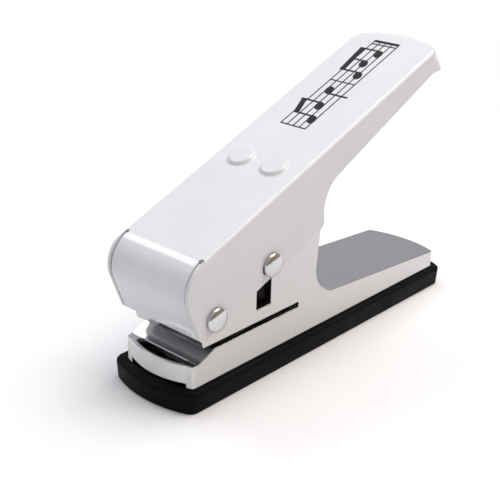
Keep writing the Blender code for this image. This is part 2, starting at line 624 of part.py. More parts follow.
def spring_rise(turn):
    """Height of the wire's middle at a turn; the end turns lie close."""
    close = SPRING_WIRE * SPRING_END_PITCH_SHARE
    open_pitch = (SPRING_LENGTH - SPRING_WIRE - 2 * close) / (SPRING_TURNS - 2)
    if turn <= 1:
        return SPRING_WIRE / 2 + close * turn
    if turn >= SPRING_TURNS - 1:
        return SPRING_LENGTH - SPRING_WIRE / 2 - close * (SPRING_TURNS - turn)
    return SPRING_WIRE / 2 + close + open_pitch * (turn - 1)


def build_spring(name, place, steel):
    """Compression spring standing on its seat, square to the handle."""
    count = SPRING_TURNS * SPRING_POINTS_PER_TURN
    sides = 8
    middles = []
    for i in range(count + 1):
        turn = i / SPRING_POINTS_PER_TURN
        angle = math.tau * turn
        middles.append((angle, spring_rise(turn)))
    rings = []
    for angle, height in middles:
        ring = []
        for k in range(sides):
            around = math.tau * k / sides
            radius = SPRING_RADIUS + SPRING_WIRE / 2 * math.cos(around)
            ring.append((radius * math.cos(angle), radius * math.sin(angle),
                         height + SPRING_WIRE / 2 * math.sin(around)))
        rings.append(ring)
    gaps = [middles[i + SPRING_POINTS_PER_TURN][1] - middles[i][1] - SPRING_WIRE
            for i in range(count + 1 - SPRING_POINTS_PER_TURN)]
    print(f"{name}: least gap between turns {min(gaps) / MM:.2f} mm")
    x, y, z = place
    lift = FIT_GAP
    location = (x, y - lift * math.sin(SLOPE), z + lift * math.cos(SLOPE))
    add_object(name, loft(rings), steel, location=location, tilt=SLOPE)


def handle_plan(inset, level, lean=0):
    """Plan of the handle at a level over the pivot, drawn in by inset and its end by lean."""
    front = -HANDLE_FRONT - OVERRUN
    half_width = HANDLE_OUTER - inset
    end = end_arc(half_width, HANDLE_END_RADIUS - inset, HANDLE_END - lean - inset,
                  HANDLE_END_CORNER - inset, True)
    return [(x, y, level) for x, y in [(-half_width, front), (half_width, front)] + end]


def handle_shell(inset, top, edge_radius):
    """Body filling the handle's channel, its long upper edges rounded."""
    rings = [handle_plan(inset, -HANDLE_SKIRT - OVERRUN), handle_plan(inset, HANDLE_TOP - END_LIP_DEPTH)]
    for angle in range(0, 91, 18):
        pull = edge_radius * (1 - math.cos(math.radians(angle)))
        level = top - edge_radius * (1 - math.sin(math.radians(angle)))
        rings.append(handle_plan(inset + pull, level, HANDLE_END_LEAN))
    return loft(rings)


def handle_side():
    """Side outline of the handle's walls, from the toe round the bottom to the top corner."""
    toe = (HANDLE_TOE_RADIUS - HANDLE_FRONT, HANDLE_TOE_RADIUS - HANDLE_SKIRT)
    heel = (HANDLE_HEEL - HANDLE_HEEL_RADIUS, HANDLE_HEEL_RADIUS - HANDLE_SKIRT)
    grip_low = HANDLE_TOP - GRIP_START_DEPTH
    grip_start = HANDLE_HEEL + HANDLE_NECK_RADIUS
    neck = (grip_start, grip_low - HANDLE_NECK_RADIUS)
    corner = (HANDLE_BEND - HANDLE_FRONT, HANDLE_TOP - HANDLE_BEND)
    ceiling = HANDLE_TOP + OVERRUN
    far = HANDLE_END + OVERRUN
    outline = arc(toe, HANDLE_TOE_RADIUS, 180, 270)
    outline += arc(heel, HANDLE_HEEL_RADIUS, 270, 360)
    outline += arc(neck, HANDLE_NECK_RADIUS, 180, 90)
    lip_start = HANDLE_END - END_LIP_LENGTH
    for i in range(CURVE_STEPS + 1):
        share = i / CURVE_STEPS
        ease = (1 - math.cos(math.pi * share)) / 2
        outline.append((lip_start + END_LIP_RUN * share,
                        HANDLE_TOP - GRIP_END_DEPTH - (END_LIP_DEPTH - GRIP_END_DEPTH) * ease))
    outline += [(far, HANDLE_TOP - END_LIP_DEPTH), (far, ceiling), (corner[0], ceiling)]
    outline += arc(corner, HANDLE_BEND, 90, 180, 2 * CURVE_STEPS)
    return outline


def flap_face():
    """Side outline of the space in front of the flap."""
    front = FLAP_RECESS - HANDLE_FRONT
    bend = (front + FLAP_BEND, HANDLE_TOP - FLAP_BEND)
    low, ceiling = -HANDLE_SKIRT - OVERRUN, HANDLE_TOP + OVERRUN
    outside = -HANDLE_FRONT - OVERRUN
    return (arc(bend, FLAP_BEND, 90, 180, 2 * CURVE_STEPS)
            + [(front, low), (outside, low), (outside, ceiling), (bend[0], ceiling)])


def handle_hollow():
    """Side outline of the space inside the handle's sheet."""
    front = FLAP_RECESS - HANDLE_FRONT
    bend = (front + FLAP_BEND, HANDLE_TOP - FLAP_BEND)
    low = -HANDLE_SKIRT - 2 * OVERRUN
    ceiling = HANDLE_TOP + OVERRUN
    far = HANDLE_END + OVERRUN
    outline = arc(bend, FLAP_BEND - HANDLE_SHEET, 90, 180, 2 * CURVE_STEPS)
    return outline + [(front + HANDLE_SHEET, low), (far, low), (far, ceiling), (bend[0], ceiling)]


def seam_outline(edge):
    """Front view of the slit between flap and side wall, which widens up the bend."""
    low, ceiling = -HANDLE_SKIRT - OVERRUN, HANDLE_TOP + OVERRUN
    return [(edge - SEAM_FOOT_WIDTH, low), (edge, low), (edge, ceiling),
            (edge - SEAM_WIDTH, ceiling), (edge - SEAM_WIDTH, HANDLE_TOP),
            (edge - SEAM_FOOT_WIDTH, HANDLE_TOP - FLAP_BEND)]


def build_handle(paint):
    pivot = (0, PIVOT_Y, PIVOT_Z)

    def tool(name, shape, at=(0, 0, 0)):
        """A tool body placed in the handle's own frame."""
        return add_object(name, shift(shape, at), location=pivot, tilt=SLOPE)

    handle = add_object("handle", handle_shell(0, HANDLE_TOP, HANDLE_EDGE_BEND), paint,
                        location=pivot, tilt=SLOPE)
    wide = HANDLE_OUTER + OVERRUN
    modify(handle, tool("handle_side_tool", across(handle_side(), wide)), "INTERSECT")
    modify(handle, tool("flap_face_tool", across(flap_face(), HANDLE_INNER)), "DIFFERENCE")
    for side, sign in (("left", -1), ("right", 1)):
        crown = turned([(DIMPLE_RADIUS, -HANDLE_SHEET / 2), (DIMPLE_RADIUS, 0),
                        (DIMPLE_CROWN_RADIUS, DIMPLE_HEIGHT * DIMPLE_SHOULDER_SHARE),
                        (DIMPLE_CROWN_RADIUS / 2, DIMPLE_HEIGHT)])
        place = (sign * DIMPLE_ACROSS, DIMPLE_ALONG, HANDLE_TOP)
        modify(handle, tool(f"dimple_{side}", crown, place), "UNION")
    hollow = tool("hollow_tool", handle_shell(HANDLE_SHEET, HANDLE_UNDER,
                                              HANDLE_EDGE_BEND - HANDLE_SHEET))
    modify(hollow, tool("hollow_side_tool", across(handle_hollow(), wide)), "INTERSECT")
    modify(handle, hollow, "DIFFERENCE")
    seam_end = SEAM_END - HANDLE_FRONT
    for side, sign in (("left", -1), ("right", 1)):
        pocket = cylinder(POCKET_RADIUS, -OVERRUN, POCKET_DEPTH)
        place = (sign * DIMPLE_ACROSS, DIMPLE_ALONG, HANDLE_UNDER)
        modify(handle, tool(f"pocket_tool_{side}", pocket, place), "DIFFERENCE")
        edge = HANDLE_INNER + SEAM_FOOT_WIDTH / 4
        seam = loft([[(x, y, z) for x, z in seam_outline(edge)]
                     for y in (-HANDLE_FRONT - OVERRUN, seam_end)])
        if sign < 0:
            bmesh.ops.scale(seam, vec=(-1, 1, 1), verts=seam.verts)
        modify(handle, tool(f"seam_tool_{side}", seam), "DIFFERENCE")
        relief = cylinder(SEAM_RELIEF_RADIUS, -2 * OVERRUN, OVERRUN, 20)
        at = (sign * (edge - SEAM_WIDTH / 2), seam_end, HANDLE_TOP)
        modify(handle, tool(f"relief_tool_{side}", relief, at), "DIFFERENCE")
    pivot_hole = swing(cylinder(PIN_RADIUS + FIT_GAP, -wide, wide), 90, "Y")
    modify(handle, tool("handle_pivot_tool", pivot_hole), "DIFFERENCE")
    modify(handle, tool("driver_slot_tool", driver_slot(wide)), "DIFFERENCE")


def driver_slot(wide):
    """Slot through the handle's walls, in which the driver pin nears the pivot as it sinks."""
    reach = -PIVOT_Y
    points = []
    for drop in (0, PUNCH_STROKE):
        rise = DRIVER_RISE - drop
        points.append(math.hypot(reach, rise))
    level = points[0] * math.sin(math.atan2(DRIVER_RISE, reach) - SLOPE)
    radius = PIN_RADIUS + DRIVER_SLOT_PLAY
    outline = arc((min(points), level), radius, 90, 270) + arc((max(points), level), radius, -90, 90)
    return across(outline, wide)


clear_scene()
plating = material("chrome plate", (0.62, 0.62, 0.63), 0.12, 1.0)
paint = material("white enamel", (0.86, 0.87, 0.88), 0.28, 0.0)
rubber = material("black rubber", (0.012, 0.012, 0.013), 0.55, 0.0)
tool_steel = material("tool steel", (0.16, 0.16, 0.17), 0.38, 1.0)
black_steel = material("black oxide steel", (0.03, 0.03, 0.032), 0.5, 0.8)
spring_steel = material("spring steel", (0.34, 0.34, 0.35), 0.3, 1.0)
nylon = material("nylon", (0.78, 0.77, 0.72), 0.5, 0.0)
zinc_plated = material("zinc plated steel", (0.5, 0.51, 0.53), 0.35, 1.0)

build_tray(rubber)
build_casting(plating)
build_die(tool_steel, zinc_plated)
build_punch(tool_steel, black_steel, zinc_plated)
build_pin("pivot_pin", PIVOT_Y, PIVOT_Z, plating, nylon)
build_pin("driver_pin", 0, DRIVER_Z, plating, nylon)
for side, place in spring_places().items():
    post = turned([(POST_RADIUS, -POST_ROOT), (POST_RADIUS, POST_HEIGHT)], 24)
    add_object(f"spring_post_{side}", post, zinc_plated, location=place, tilt=SLOPE)
    build_spring(f"return_spring_{side}", place, spring_steel)
build_handle(paint)
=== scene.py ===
"""Looks of a hand-lever punch that cuts plectrums from plastic strip.

X runs across the tool, +Y to its back and +Z up. The origin lies on the table, straight under
the punch. The handle's pieces are drawn in the handle's own frame: u along it from the pivot,
w square above it.
"""
import json
import math

import bmesh
import bpy
from mathutils import Matrix, Vector

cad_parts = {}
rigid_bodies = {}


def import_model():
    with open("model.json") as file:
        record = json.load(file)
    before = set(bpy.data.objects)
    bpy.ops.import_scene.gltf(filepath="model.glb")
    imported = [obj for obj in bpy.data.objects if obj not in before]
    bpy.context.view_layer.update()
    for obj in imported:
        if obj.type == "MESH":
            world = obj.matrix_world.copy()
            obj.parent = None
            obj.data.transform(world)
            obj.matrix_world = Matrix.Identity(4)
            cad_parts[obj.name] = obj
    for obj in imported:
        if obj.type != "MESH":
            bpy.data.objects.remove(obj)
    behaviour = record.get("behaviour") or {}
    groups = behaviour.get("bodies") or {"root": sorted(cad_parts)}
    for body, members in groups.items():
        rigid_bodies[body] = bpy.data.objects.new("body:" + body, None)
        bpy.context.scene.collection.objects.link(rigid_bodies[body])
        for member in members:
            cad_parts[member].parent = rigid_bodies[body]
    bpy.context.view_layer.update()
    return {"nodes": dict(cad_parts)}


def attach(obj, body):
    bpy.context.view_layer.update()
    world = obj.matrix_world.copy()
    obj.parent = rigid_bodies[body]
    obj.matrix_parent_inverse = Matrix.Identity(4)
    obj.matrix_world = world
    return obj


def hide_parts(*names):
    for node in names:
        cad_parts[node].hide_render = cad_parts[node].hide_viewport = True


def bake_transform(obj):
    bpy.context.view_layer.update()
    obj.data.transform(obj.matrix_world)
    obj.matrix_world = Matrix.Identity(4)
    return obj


for item in list(bpy.data.objects):
    bpy.data.objects.remove(item)
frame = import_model()
MM = 0.001

# Camera
# It stands to the right of the tool's nose and looks down at it, rolled slightly clockwise. Its
# place, angles and focal length were fitted together with the tool's main sizes.
CAMERA_AZIMUTH = 42.09        # degrees, as are the next two
CAMERA_ELEVATION = 23.78
CAMERA_ROLL = -1.30
CAMERA_PLACE = Vector((211.9, -225.2, 175.5)) * MM
CAMERA_FOCAL_SHARE = 2.1001   # focal length as a share of the sensor's width
CAMERA_SENSOR_WIDTH = 36      # mm, as Blender counts it
CAMERA_CLIP_START = 10 * MM

azimuth, elevation, roll = map(math.radians, (CAMERA_AZIMUTH, CAMERA_ELEVATION, CAMERA_ROLL))
level = Vector((math.cos(azimuth), math.sin(azimuth), 0))
backward = Vector((math.sin(azimuth) * math.cos(elevation),
                   -math.cos(azimuth) * math.cos(elevation), math.sin(elevation)))
upward = backward.cross(level)
turn = Matrix((level * math.cos(roll) - upward * math.sin(roll),
               level * math.sin(roll) + upward * math.cos(roll), backward)).transposed()
camera = bpy.data.objects.new("camera", bpy.data.cameras.new("camera"))
camera.data.sensor_width = CAMERA_SENSOR_WIDTH
camera.data.lens = camera.data.sensor_width * CAMERA_FOCAL_SHARE
camera.data.clip_start = CAMERA_CLIP_START
camera.matrix_world = Matrix.Translation(CAMERA_PLACE) @ turn.to_4x4()
bpy.context.scene.collection.objects.link(camera)
bpy.context.scene.camera = camera
bpy.context.scene.view_settings.view_transform = "Standard"

# Base tray
# Injection-moulded soft black rubber. Its stepped rim holds the casting's foot by friction,
# and its floor catches the cut plectrums. The mould leaves a fine satin grain.
HALF_WIDTH = 15.1 * MM        # casting's side
LIP_APEX_Y = -35.0 * MM
DECK_APEX_Y = 101.0 * MM
DECK_ARC_RADIUS = 35.23 * MM
POCKET_ARC_RADIUS = 36.20 * MM
FIT_GAP = 0.3 * MM
TRAY_FLOOR = 1.6 * MM
TRAY_LEDGE = 3.2 * MM
TRAY_RIM = 7.6 * MM
TRAY_STEP = 0.4 * MM
TRAY_STEP_WIDTH = 0.9 * MM
TRAY_SIDE_WALL = 3.0 * MM
TRAY_FRONT_WALL = 3.6 * MM
TRAY_FRONT_RADIUS = 42.0 * MM
TRAY_TAPER = 0.4 * MM
TRAY_CORNER = 4.0 * MM
TRAY_EDGE_RADIUS = 1.3 * MM
TRAY_BASE_RADIUS = 0.4 * MM
TRAY_STEP_RADIUS = 0.2 * MM
TRAY_LEDGE_WIDTH = 2.0 * MM
POCKET_CORNER = 0.8 * MM
RUBBER_GRAIN = 0.25 * MM
RUBBER_GRAIN_DEPTH = 0.02 * MM
RUBBER_COLOUR_SPOTS = 9 * MM
RUBBER_SHEEN_SPOTS = 5 * MM
NOISE_RANGE = (0.3, 0.7)      # where in a noise the change of colour or value starts and ends
TRUE_EDGE = 35                # angle between two faces that makes an edge, in degrees
ARC_STEPS = 12
BOW_STEPS = 36


def linear(code):
    """Linear colour of an sRGB hex code."""
    shares = [int(code[i:i + 2], 16) / 255 for i in (1, 3, 5)]
    return tuple(s / 12.92 if s <= 0.04045 else ((s + 0.055) / 1.055) ** 2.4 for s in shares) + (1,)


def add_node(material, kind, inputs, **settings):
    """Add a node, set its properties, and set or link its inputs; gives the node."""
    tree = material.node_tree
    made = tree.nodes.new(kind)
    for name, value in settings.items():
        setattr(made, name, value)
    for name, value in inputs.items():
        if isinstance(value, bpy.types.NodeSocket):
            tree.links.new(value, made.inputs[name])
        else:
            made.inputs[name].default_value = value
    return made


def new_material(name, **inputs):
    """Principled material; inputs are given with _ for a space."""
    made = bpy.data.materials.new(name)
    made.use_nodes = True
    shader = made.node_tree.nodes["Principled BSDF"]
    for key, value in inputs.items():
        shader.inputs[key.replace("_", " ")].default_value = value
    return made, shader


def spots(material, size, detail=2.0):
    """Soft spots of a real size, in the piece's own space."""
    place = add_node(material, "ShaderNodeTexCoord", {})
    return add_node(material, "ShaderNodeTexNoise",
                    {"Vector": place.outputs["Object"], "Scale": 1 / size, "Detail": detail})


def grain(material, shader, size, depth, detail=2.0):
    """Bump from an even grain of a real spacing; gives the noise for further use."""
    noise = spots(material, size, detail)
    bump = add_node(material, "ShaderNodeBump",
                    {"Height": noise.outputs["Fac"], "Distance": depth, "Strength": 1.0})
    material.node_tree.links.new(bump.outputs["Normal"], shader.inputs["Normal"])
    return noise


def vary(material, noise, socket, low, high):
    """Let a noise move a shader's input between two numbers or two hex colours."""
    ramp = add_node(material, "ShaderNodeValToRGB", {"Fac": noise.outputs["Fac"]})
    for element, share, end in zip(ramp.color_ramp.elements, NOISE_RANGE, (low, high)):
        element.position = share
        element.color = linear(end) if isinstance(end, str) else (end, end, end, 1)
    material.node_tree.links.new(ramp.outputs["Color"], socket)


def rubber():
    """Moulded rubber: nearly black, satin, a little greyer where it has been handled."""
    made, shader = new_material("moulded_rubber", Roughness=0.5, IOR=1.52, Specular_IOR_Level=0.07)
    grain(made, shader, RUBBER_GRAIN, RUBBER_GRAIN_DEPTH)
    vary(made, spots(made, RUBBER_COLOUR_SPOTS), shader.inputs["Base Color"], "#050506", "#0a0a0b")
    vary(made, spots(made, RUBBER_SHEEN_SPOTS), shader.inputs["Roughness"], 0.46, 0.58)
    return made


def arc(centre, radius, start, end, steps=ARC_STEPS):
    """Points on a circle from one angle to another, in degrees."""
    angles = [math.radians(start + (end - start) * i / steps) for i in range(steps + 1)]
    return [(centre[0] + radius * math.cos(a), centre[1] + radius * math.sin(a)) for a in angles]


def end_arc(half_width, radius, apex_y, corner, back):
    """Bowed end with rounded corners, points running counter-clockwise seen from above."""
    reach = math.sqrt((radius - corner) ** 2 - (half_width - corner) ** 2)
    lean = math.degrees(math.atan2(reach, half_width - corner))
    side = 1 if back else -1
    bow = (0, apex_y - side * radius)
    right = (side * (half_width - corner), bow[1] + side * reach)
    left = (-right[0], right[1])
    start = 0 if back else 180
    return (arc(right, corner, start, start + lean)
            + arc(bow, radius, start + lean, start + 180 - lean, BOW_STEPS)[1:-1]
            + arc(left, corner, start + 180 - lean, start + 180))


def loft(rings, closed=False):
    """Body through rings of as many points each, capped at both ends or closed into a ring."""
    shape = bmesh.new()
    loops = [[shape.verts.new(point) for point in ring] for ring in rings]
    count = len(loops[0])
    for low, high in zip(loops, loops[1:] + (loops[:1] if closed else [])):
        for i in range(count):
            j = (i + 1) % count
            shape.faces.new((low[i], low[j], high[j], high[i]))
    if not closed:
        shape.faces.new(list(reversed(loops[0])))
        shape.faces.new(loops[-1])
    return shape


def add_piece(name, shape, finish=None):
    """Object from a bmesh, smooth but for its true edges."""
    bmesh.ops.recalc_face_normals(shape, faces=shape.faces)
    mesh = bpy.data.meshes.new(name)
    shape.to_mesh(mesh)
    shape.free()
    made = bpy.data.objects.new(name, mesh)
    bpy.context.scene.collection.objects.link(made)
    if finish:
        mesh.materials.append(finish)
    mesh.shade_smooth()
    mesh.set_sharp_from_angle(angle=math.radians(TRUE_EDGE))
    return made


def soften(piece, radius, segments=3, angle=TRUE_EDGE):
    """Round the piece's true edges and let its flat faces shade flat."""
    bevel = piece.modifiers.new("rounded edges", "BEVEL")
    bevel.width = radius
    bevel.segments = segments
    bevel.limit_method = "ANGLE"
    bevel.angle_limit = math.radians(angle)
    bevel.use_clamp_overlap = False
    bevel.miter_outer = "MITER_ARC"
    normals = piece.modifiers.new("flat faces", "WEIGHTED_NORMAL")
    normals.keep_sharp = True
    return piece


def foot_ring(grow, corner, z):
    """Outline round the casting's foot, grown evenly."""
    half_width = HALF_WIDTH + grow
    outline = end_arc(half_width, POCKET_ARC_RADIUS + grow, LIP_APEX_Y - grow, corner, False)
    outline += end_arc(half_width, DECK_ARC_RADIUS + grow, DECK_APEX_Y + grow, corner, True)
    return [(x, y, z) for x, y in outline]


def tray_ring(inset, z):
    """Outer outline of the tray, drawn in by inset."""
    side = TRAY_SIDE_WALL - inset
    front = TRAY_FRONT_WALL - inset
    corner = TRAY_CORNER - inset
    half_width = HALF_WIDTH + side
    outline = end_arc(half_width, TRAY_FRONT_RADIUS - inset, LIP_APEX_Y - front, corner, False)
    outline += end_arc(half_width, DECK_ARC_RADIUS + side, DECK_APEX_Y + side, corner, True)
    return [(x, y, z) for x, y in outline]


# Each section of an edge is a list of (inset, height) pairs.
step_z, crest_z = TRAY_RIM - TRAY_STEP, TRAY_RIM - TRAY_STEP_RADIUS
base_edge = arc((TRAY_BASE_RADIUS, TRAY_BASE_RADIUS), TRAY_BASE_RADIUS, 270, 180, 5)
rim_edge = arc((TRAY_EDGE_RADIUS, step_z - TRAY_EDGE_RADIUS), TRAY_EDGE_RADIUS, 180, 90, 7)
step_edge = ([(-TRAY_STEP_RADIUS, step_z)]
             + arc((TRAY_STEP_RADIUS, crest_z), TRAY_STEP_RADIUS, 180, 90, 3)
             + arc((TRAY_STEP_WIDTH - TRAY_STEP_RADIUS, crest_z), TRAY_STEP_RADIUS, 90, 0, 3))
upstand = FIT_GAP + TRAY_STEP_WIDTH
ledge = FIT_GAP - TRAY_LEDGE_WIDTH
rings = [tray_ring(TRAY_TAPER + pull, z) for pull, z in base_edge]
rings += [tray_ring(pull, z) for pull, z in rim_edge]
rings += [foot_ring(upstand - pull, POCKET_CORNER + upstand - pull, z) for pull, z in step_edge]
rings += [foot_ring(FIT_GAP, POCKET_CORNER, TRAY_LEDGE),
          foot_ring(ledge, POCKET_CORNER, TRAY_LEDGE),
          foot_ring(ledge, POCKET_CORNER, TRAY_FLOOR)]
tray = add_piece("moulded_tray", loft(rings), rubber())
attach(tray, "tray")
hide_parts("base_tray")
tray.visible_glossy = False     # painted reflection: the casting mirrors the table in its place

# Frame casting
# One zinc die casting with lower jaw, bowed lip, throat, upper jaw, ears and deck, brushed fine
# and plated with satin chrome. The hand work leaves faint waves in its sheen.
FOOT_Z = TRAY_LEDGE + FIT_GAP
LIP_Z = 14.6 * MM
JAW_Z = 17.7 * MM
THROAT_HEIGHT = 1.9 * MM
UPPER_Z = JAW_Z + THROAT_HEIGHT
GUIDE_Z = 34.0 * MM
LIP_CORNER_Y = -31.7 * MM
LIP_ARC_RADIUS = 28.42 * MM
FACET_X = 12.3 * MM
CORNER_BREAK_WIDTH = 0.4 * MM
CORNER_BREAK_LENGTH = 1.2 * MM
MOUTH_HALF_WIDTH = 10.4 * MM
RAMP_FOOT_Y = -29.7 * MM
RAMP_LENGTH = 7.0 * MM
RAMP_SKIN = 2.0 * MM
LIP_WALL = 1.3 * MM
CAVITY_WALL = 1.8 * MM
CAVITY_Z = 14.7 * MM
THROAT_END_Y = 17.45 * MM
JAW_FRONT_Y = -27.3 * MM
NOSE_RADIUS = 5.0 * MM
PIVOT_Y = -24.8 * MM
PIVOT_Z = 29.7 * MM
DRIVER_Z = 39.8 * MM
EAR_TOP_Z = 47.1 * MM
EAR_PEAK_FRONT_Y = -6.0 * MM
EAR_PEAK_BACK_Y = 8.0 * MM
EAR_BACK_Y = 26.1 * MM
EAR_BACK_LEAN = 1.3 * MM
EAR_BACK_TOP_DROP = 3.0 * MM
EAR_FILLET = 11.0 * MM
EAR_THICKNESS = 1.7 * MM
DECK_START_Y = EAR_BACK_Y + EAR_FILLET
DECK_START_Z = 18.0 * MM
DECK_END_Z = 13.2 * MM
DECK_CORNER_Y = 97.6 * MM
DECK_CORNER_RADIUS = 1.6 * MM
DECK_SKIN = 1.8 * MM
WINDOW_HALF_WIDTH = 3.5 * MM
WINDOW_BOTTOM_Z = 24.0 * MM
WINDOW_TOP_Z = 44.1 * MM
PIVOT_BLOCK_BACK = 5.3 * MM
SEAT_BLOCK_DEPTH = 8.6 * MM
PIN_HOLE_RADIUS = 2.3 * MM
POST_HOLE_RADIUS = 2.0 * MM
POST_HOLE_DEPTH = 4.3 * MM
SLOPE = math.radians(21.4)
SPRING_ALONG = 47.6 * MM
SPRING_ACROSS = 7.0 * MM
SEAT_LEVEL = -8.75 * MM
PLECTRUM_WIDTH = 26.0 * MM
PLECTRUM_LENGTH = 30.5 * MM
PLECTRUM_TIP_RADIUS = 3.0 * MM
PLECTRUM_SHOULDER_RADIUS = 7.4 * MM
PLECTRUM_SIDE_RADIUS = 60.0 * MM
PLECTRUM_END_RADIUS = 30.0 * MM
DIE_SEAT_GROWTH = 1.3 * MM
GUIDE_GROWTH = 0.25 * MM
LIP_NOTCH_Z = 8.1 * MM
CASTING_EDGE = 0.3 * MM
CASTING_EDGE_ANGLE = 12       # degrees; the lip's shallow facets have edges too
CHROME_WAVES = 9 * MM
CHROME_WAVE_DEPTH = 0.002 * MM
CHROME_SHEEN_SPOTS = 3 * MM
PAST = 2.0 * MM               # how far a cutter runs past what it cuts
JOIN_DISTANCE = MM / 500      # points closer than this are joined
FLAT_ANGLE = 0.4              # faces closer to level than this are joined, in degrees


def chrome():
    """Satin chrome plate: pale, with a soft sheen, softly waved by hand polishing."""
    made, shader = new_material("satin_chrome_on_zinc", Metallic=1.0, Roughness=0.21,
                                Base_Color=linear("#cccbca"))
    grain(made, shader, CHROME_WAVES, CHROME_WAVE_DEPTH, detail=0.0)
    vary(made, spots(made, CHROME_SHEEN_SPOTS), shader.inputs["Roughness"], 0.19, 0.23)
    return made


def across(outline, low, high):
    """Body with a side outline of (y, z) points, from one x to another."""
    return loft([[(x, y, z) for y, z in outline] for x in (low, high)])


def upright(outline, low, high):
    """Body with a plan outline of (x, y) points."""
    return loft([[(x, y, z) for x, y in outline] for z in (low, high)])


def block(x_limits, y_limits, z_limits):
    """Box between its limits."""
    (x0, x1), (y0, y1), (z0, z1) = x_limits, y_limits, z_limits
    return upright([(x0, y0), (x1, y0), (x1, y1), (x0, y1)], z0, z1)


def turned(profile, steps=48):
    """Body turned about Z from (radius, z) points, from one pole to the other."""
    return loft([[(r * math.cos(math.tau * i / steps), r * math.sin(math.tau * i / steps), z)
                  for i in range(steps)] for r, z in profile])


def bar(radius, half_length, y, z):
    """Round bar across the tool."""
    shape = turned([(radius, -half_length), (radius, half_length)])
    shape.transform(Matrix.Translation((0, y, z)) @ Matrix.Rotation(math.pi / 2, 4, "Y"))
    return shape


def settle(piece):
    """Keep the piece as its modifiers have made it."""
    evaluated = piece.evaluated_get(bpy.context.evaluated_depsgraph_get())
    mesh = bpy.data.meshes.new_from_object(evaluated)
    piece.modifiers.clear()
    piece.data = mesh


def carve(piece, shape, operation="DIFFERENCE"):
    """Join, cut or trim a piece with another body, and keep only the result."""
    tool = add_piece("tool", shape)
    step = piece.modifiers.new("tool", "BOOLEAN")
    step.operation = operation
    step.object = tool
    settle(piece)
    bpy.data.objects.remove(tool)


def loosen(piece):
    """Take a piece's mesh out as a body that can cut another."""
    shape = bmesh.new()
    shape.from_mesh(piece.data)
    bpy.data.objects.remove(piece)
    return shape


def resharpen(piece, angle):
    """Join what the cuts left apart, and mark the true edges again."""
    shape = bmesh.new()
    shape.from_mesh(piece.data)
    bmesh.ops.remove_doubles(shape, verts=shape.verts, dist=JOIN_DISTANCE)
    bmesh.ops.dissolve_degenerate(shape, edges=shape.edges, dist=JOIN_DISTANCE)
    bmesh.ops.dissolve_limit(shape, angle_limit=math.radians(FLAT_ANGLE), verts=shape.verts,
                             edges=shape.edges)
    shape.to_mesh(piece.data)
    shape.free()
    piece.data.shade_smooth()
    piece.data.set_sharp_from_angle(angle=math.radians(angle))


def plectrum(grow):
    """Plectrum outline of arcs that run into each other, its tip to the front, grown evenly."""
    tip = (0, PLECTRUM_TIP_RADIUS - PLECTRUM_LENGTH / 2)
    end = (0, PLECTRUM_LENGTH / 2 - PLECTRUM_END_RADIUS)
    shoulder_x = PLECTRUM_WIDTH / 2 - PLECTRUM_SHOULDER_RADIUS
    reach = PLECTRUM_END_RADIUS - PLECTRUM_SHOULDER_RADIUS
    shoulder = (shoulder_x, end[1] + math.sqrt(reach ** 2 - shoulder_x ** 2))
    to_tip = PLECTRUM_SIDE_RADIUS - PLECTRUM_TIP_RADIUS
    to_shoulder = PLECTRUM_SIDE_RADIUS - PLECTRUM_SHOULDER_RADIUS
    gap_x, gap_y = shoulder[0] - tip[0], shoulder[1] - tip[1]
    span = math.hypot(gap_x, gap_y)
    along = (to_tip ** 2 - to_shoulder ** 2 + span ** 2) / (2 * span)
    aside = math.sqrt(to_tip ** 2 - along ** 2)
    side = (tip[0] + (along * gap_x - aside * gap_y) / span,
            tip[1] + (along * gap_y + aside * gap_x) / span)
    at_tip = math.degrees(math.atan2(tip[1] - side[1], tip[0] - side[0]))
    at_shoulder = math.degrees(math.atan2(shoulder[1] - side[1], shoulder[0] - side[0]))
    at_end = math.degrees(math.atan2(shoulder[1] - end[1], shoulder[0] - end[0]))
    right = (arc(side, PLECTRUM_SIDE_RADIUS + grow, at_tip, at_shoulder, 18)
             + arc(shoulder, PLECTRUM_SHOULDER_RADIUS + grow, at_shoulder, at_end, 12)[1:]
             + arc(end, PLECTRUM_END_RADIUS + grow, at_end, 90, 8)[1:])
    nose = arc(tip, PLECTRUM_TIP_RADIUS + grow, -90, at_tip, 10)[:-1]
    half = nose + right
    return half + [(-x, y) for x, y in reversed(half[1:-1])]


def deck_z(y):
    """Height of the deck's sloping face."""
    run = DECK_CORNER_Y - DECK_START_Y
    return DECK_START_Z + (DECK_END_Z - DECK_START_Z) * (y - DECK_START_Y) / run


def on_handle(along, above):
    """World (y, z) of a point in the handle's frame."""
    return (PIVOT_Y + along * math.cos(SLOPE) - above * math.sin(SLOPE),
            PIVOT_Z + along * math.sin(SLOPE) + above * math.cos(SLOPE))


def seat_z(y):
    """Height of the springs' seat, which lies parallel to the handle."""
    seat_y, middle_z = on_handle(SPRING_ALONG, SEAT_LEVEL)
    return middle_z + (y - seat_y) * math.tan(SLOPE)


def casting_side():
    """Side outline of the casting, with the throat between its jaws."""
    back_y, front_y = DECK_APEX_Y + PAST, LIP_APEX_Y - PAST
    outline = [(front_y, FOOT_Z), (front_y, LIP_Z), (RAMP_FOOT_Y, LIP_Z),
               (RAMP_FOOT_Y + RAMP_LENGTH, JAW_Z), (THROAT_END_Y, JAW_Z),
               (THROAT_END_Y, UPPER_Z), (JAW_FRONT_Y, UPPER_Z)]
    outline += arc((PIVOT_Y, PIVOT_Z), NOSE_RADIUS, 195, 115, 18)
    outline += [(EAR_PEAK_FRONT_Y, EAR_TOP_Z), (EAR_PEAK_BACK_Y, EAR_TOP_Z),
                (EAR_BACK_Y + EAR_BACK_LEAN, EAR_TOP_Z - EAR_BACK_TOP_DROP)]
    outline += arc((DECK_START_Y, DECK_START_Z + EAR_FILLET), EAR_FILLET, 180, 270, 30)
    return outline + [(back_y, deck_z(back_y)), (back_y, FOOT_Z)]


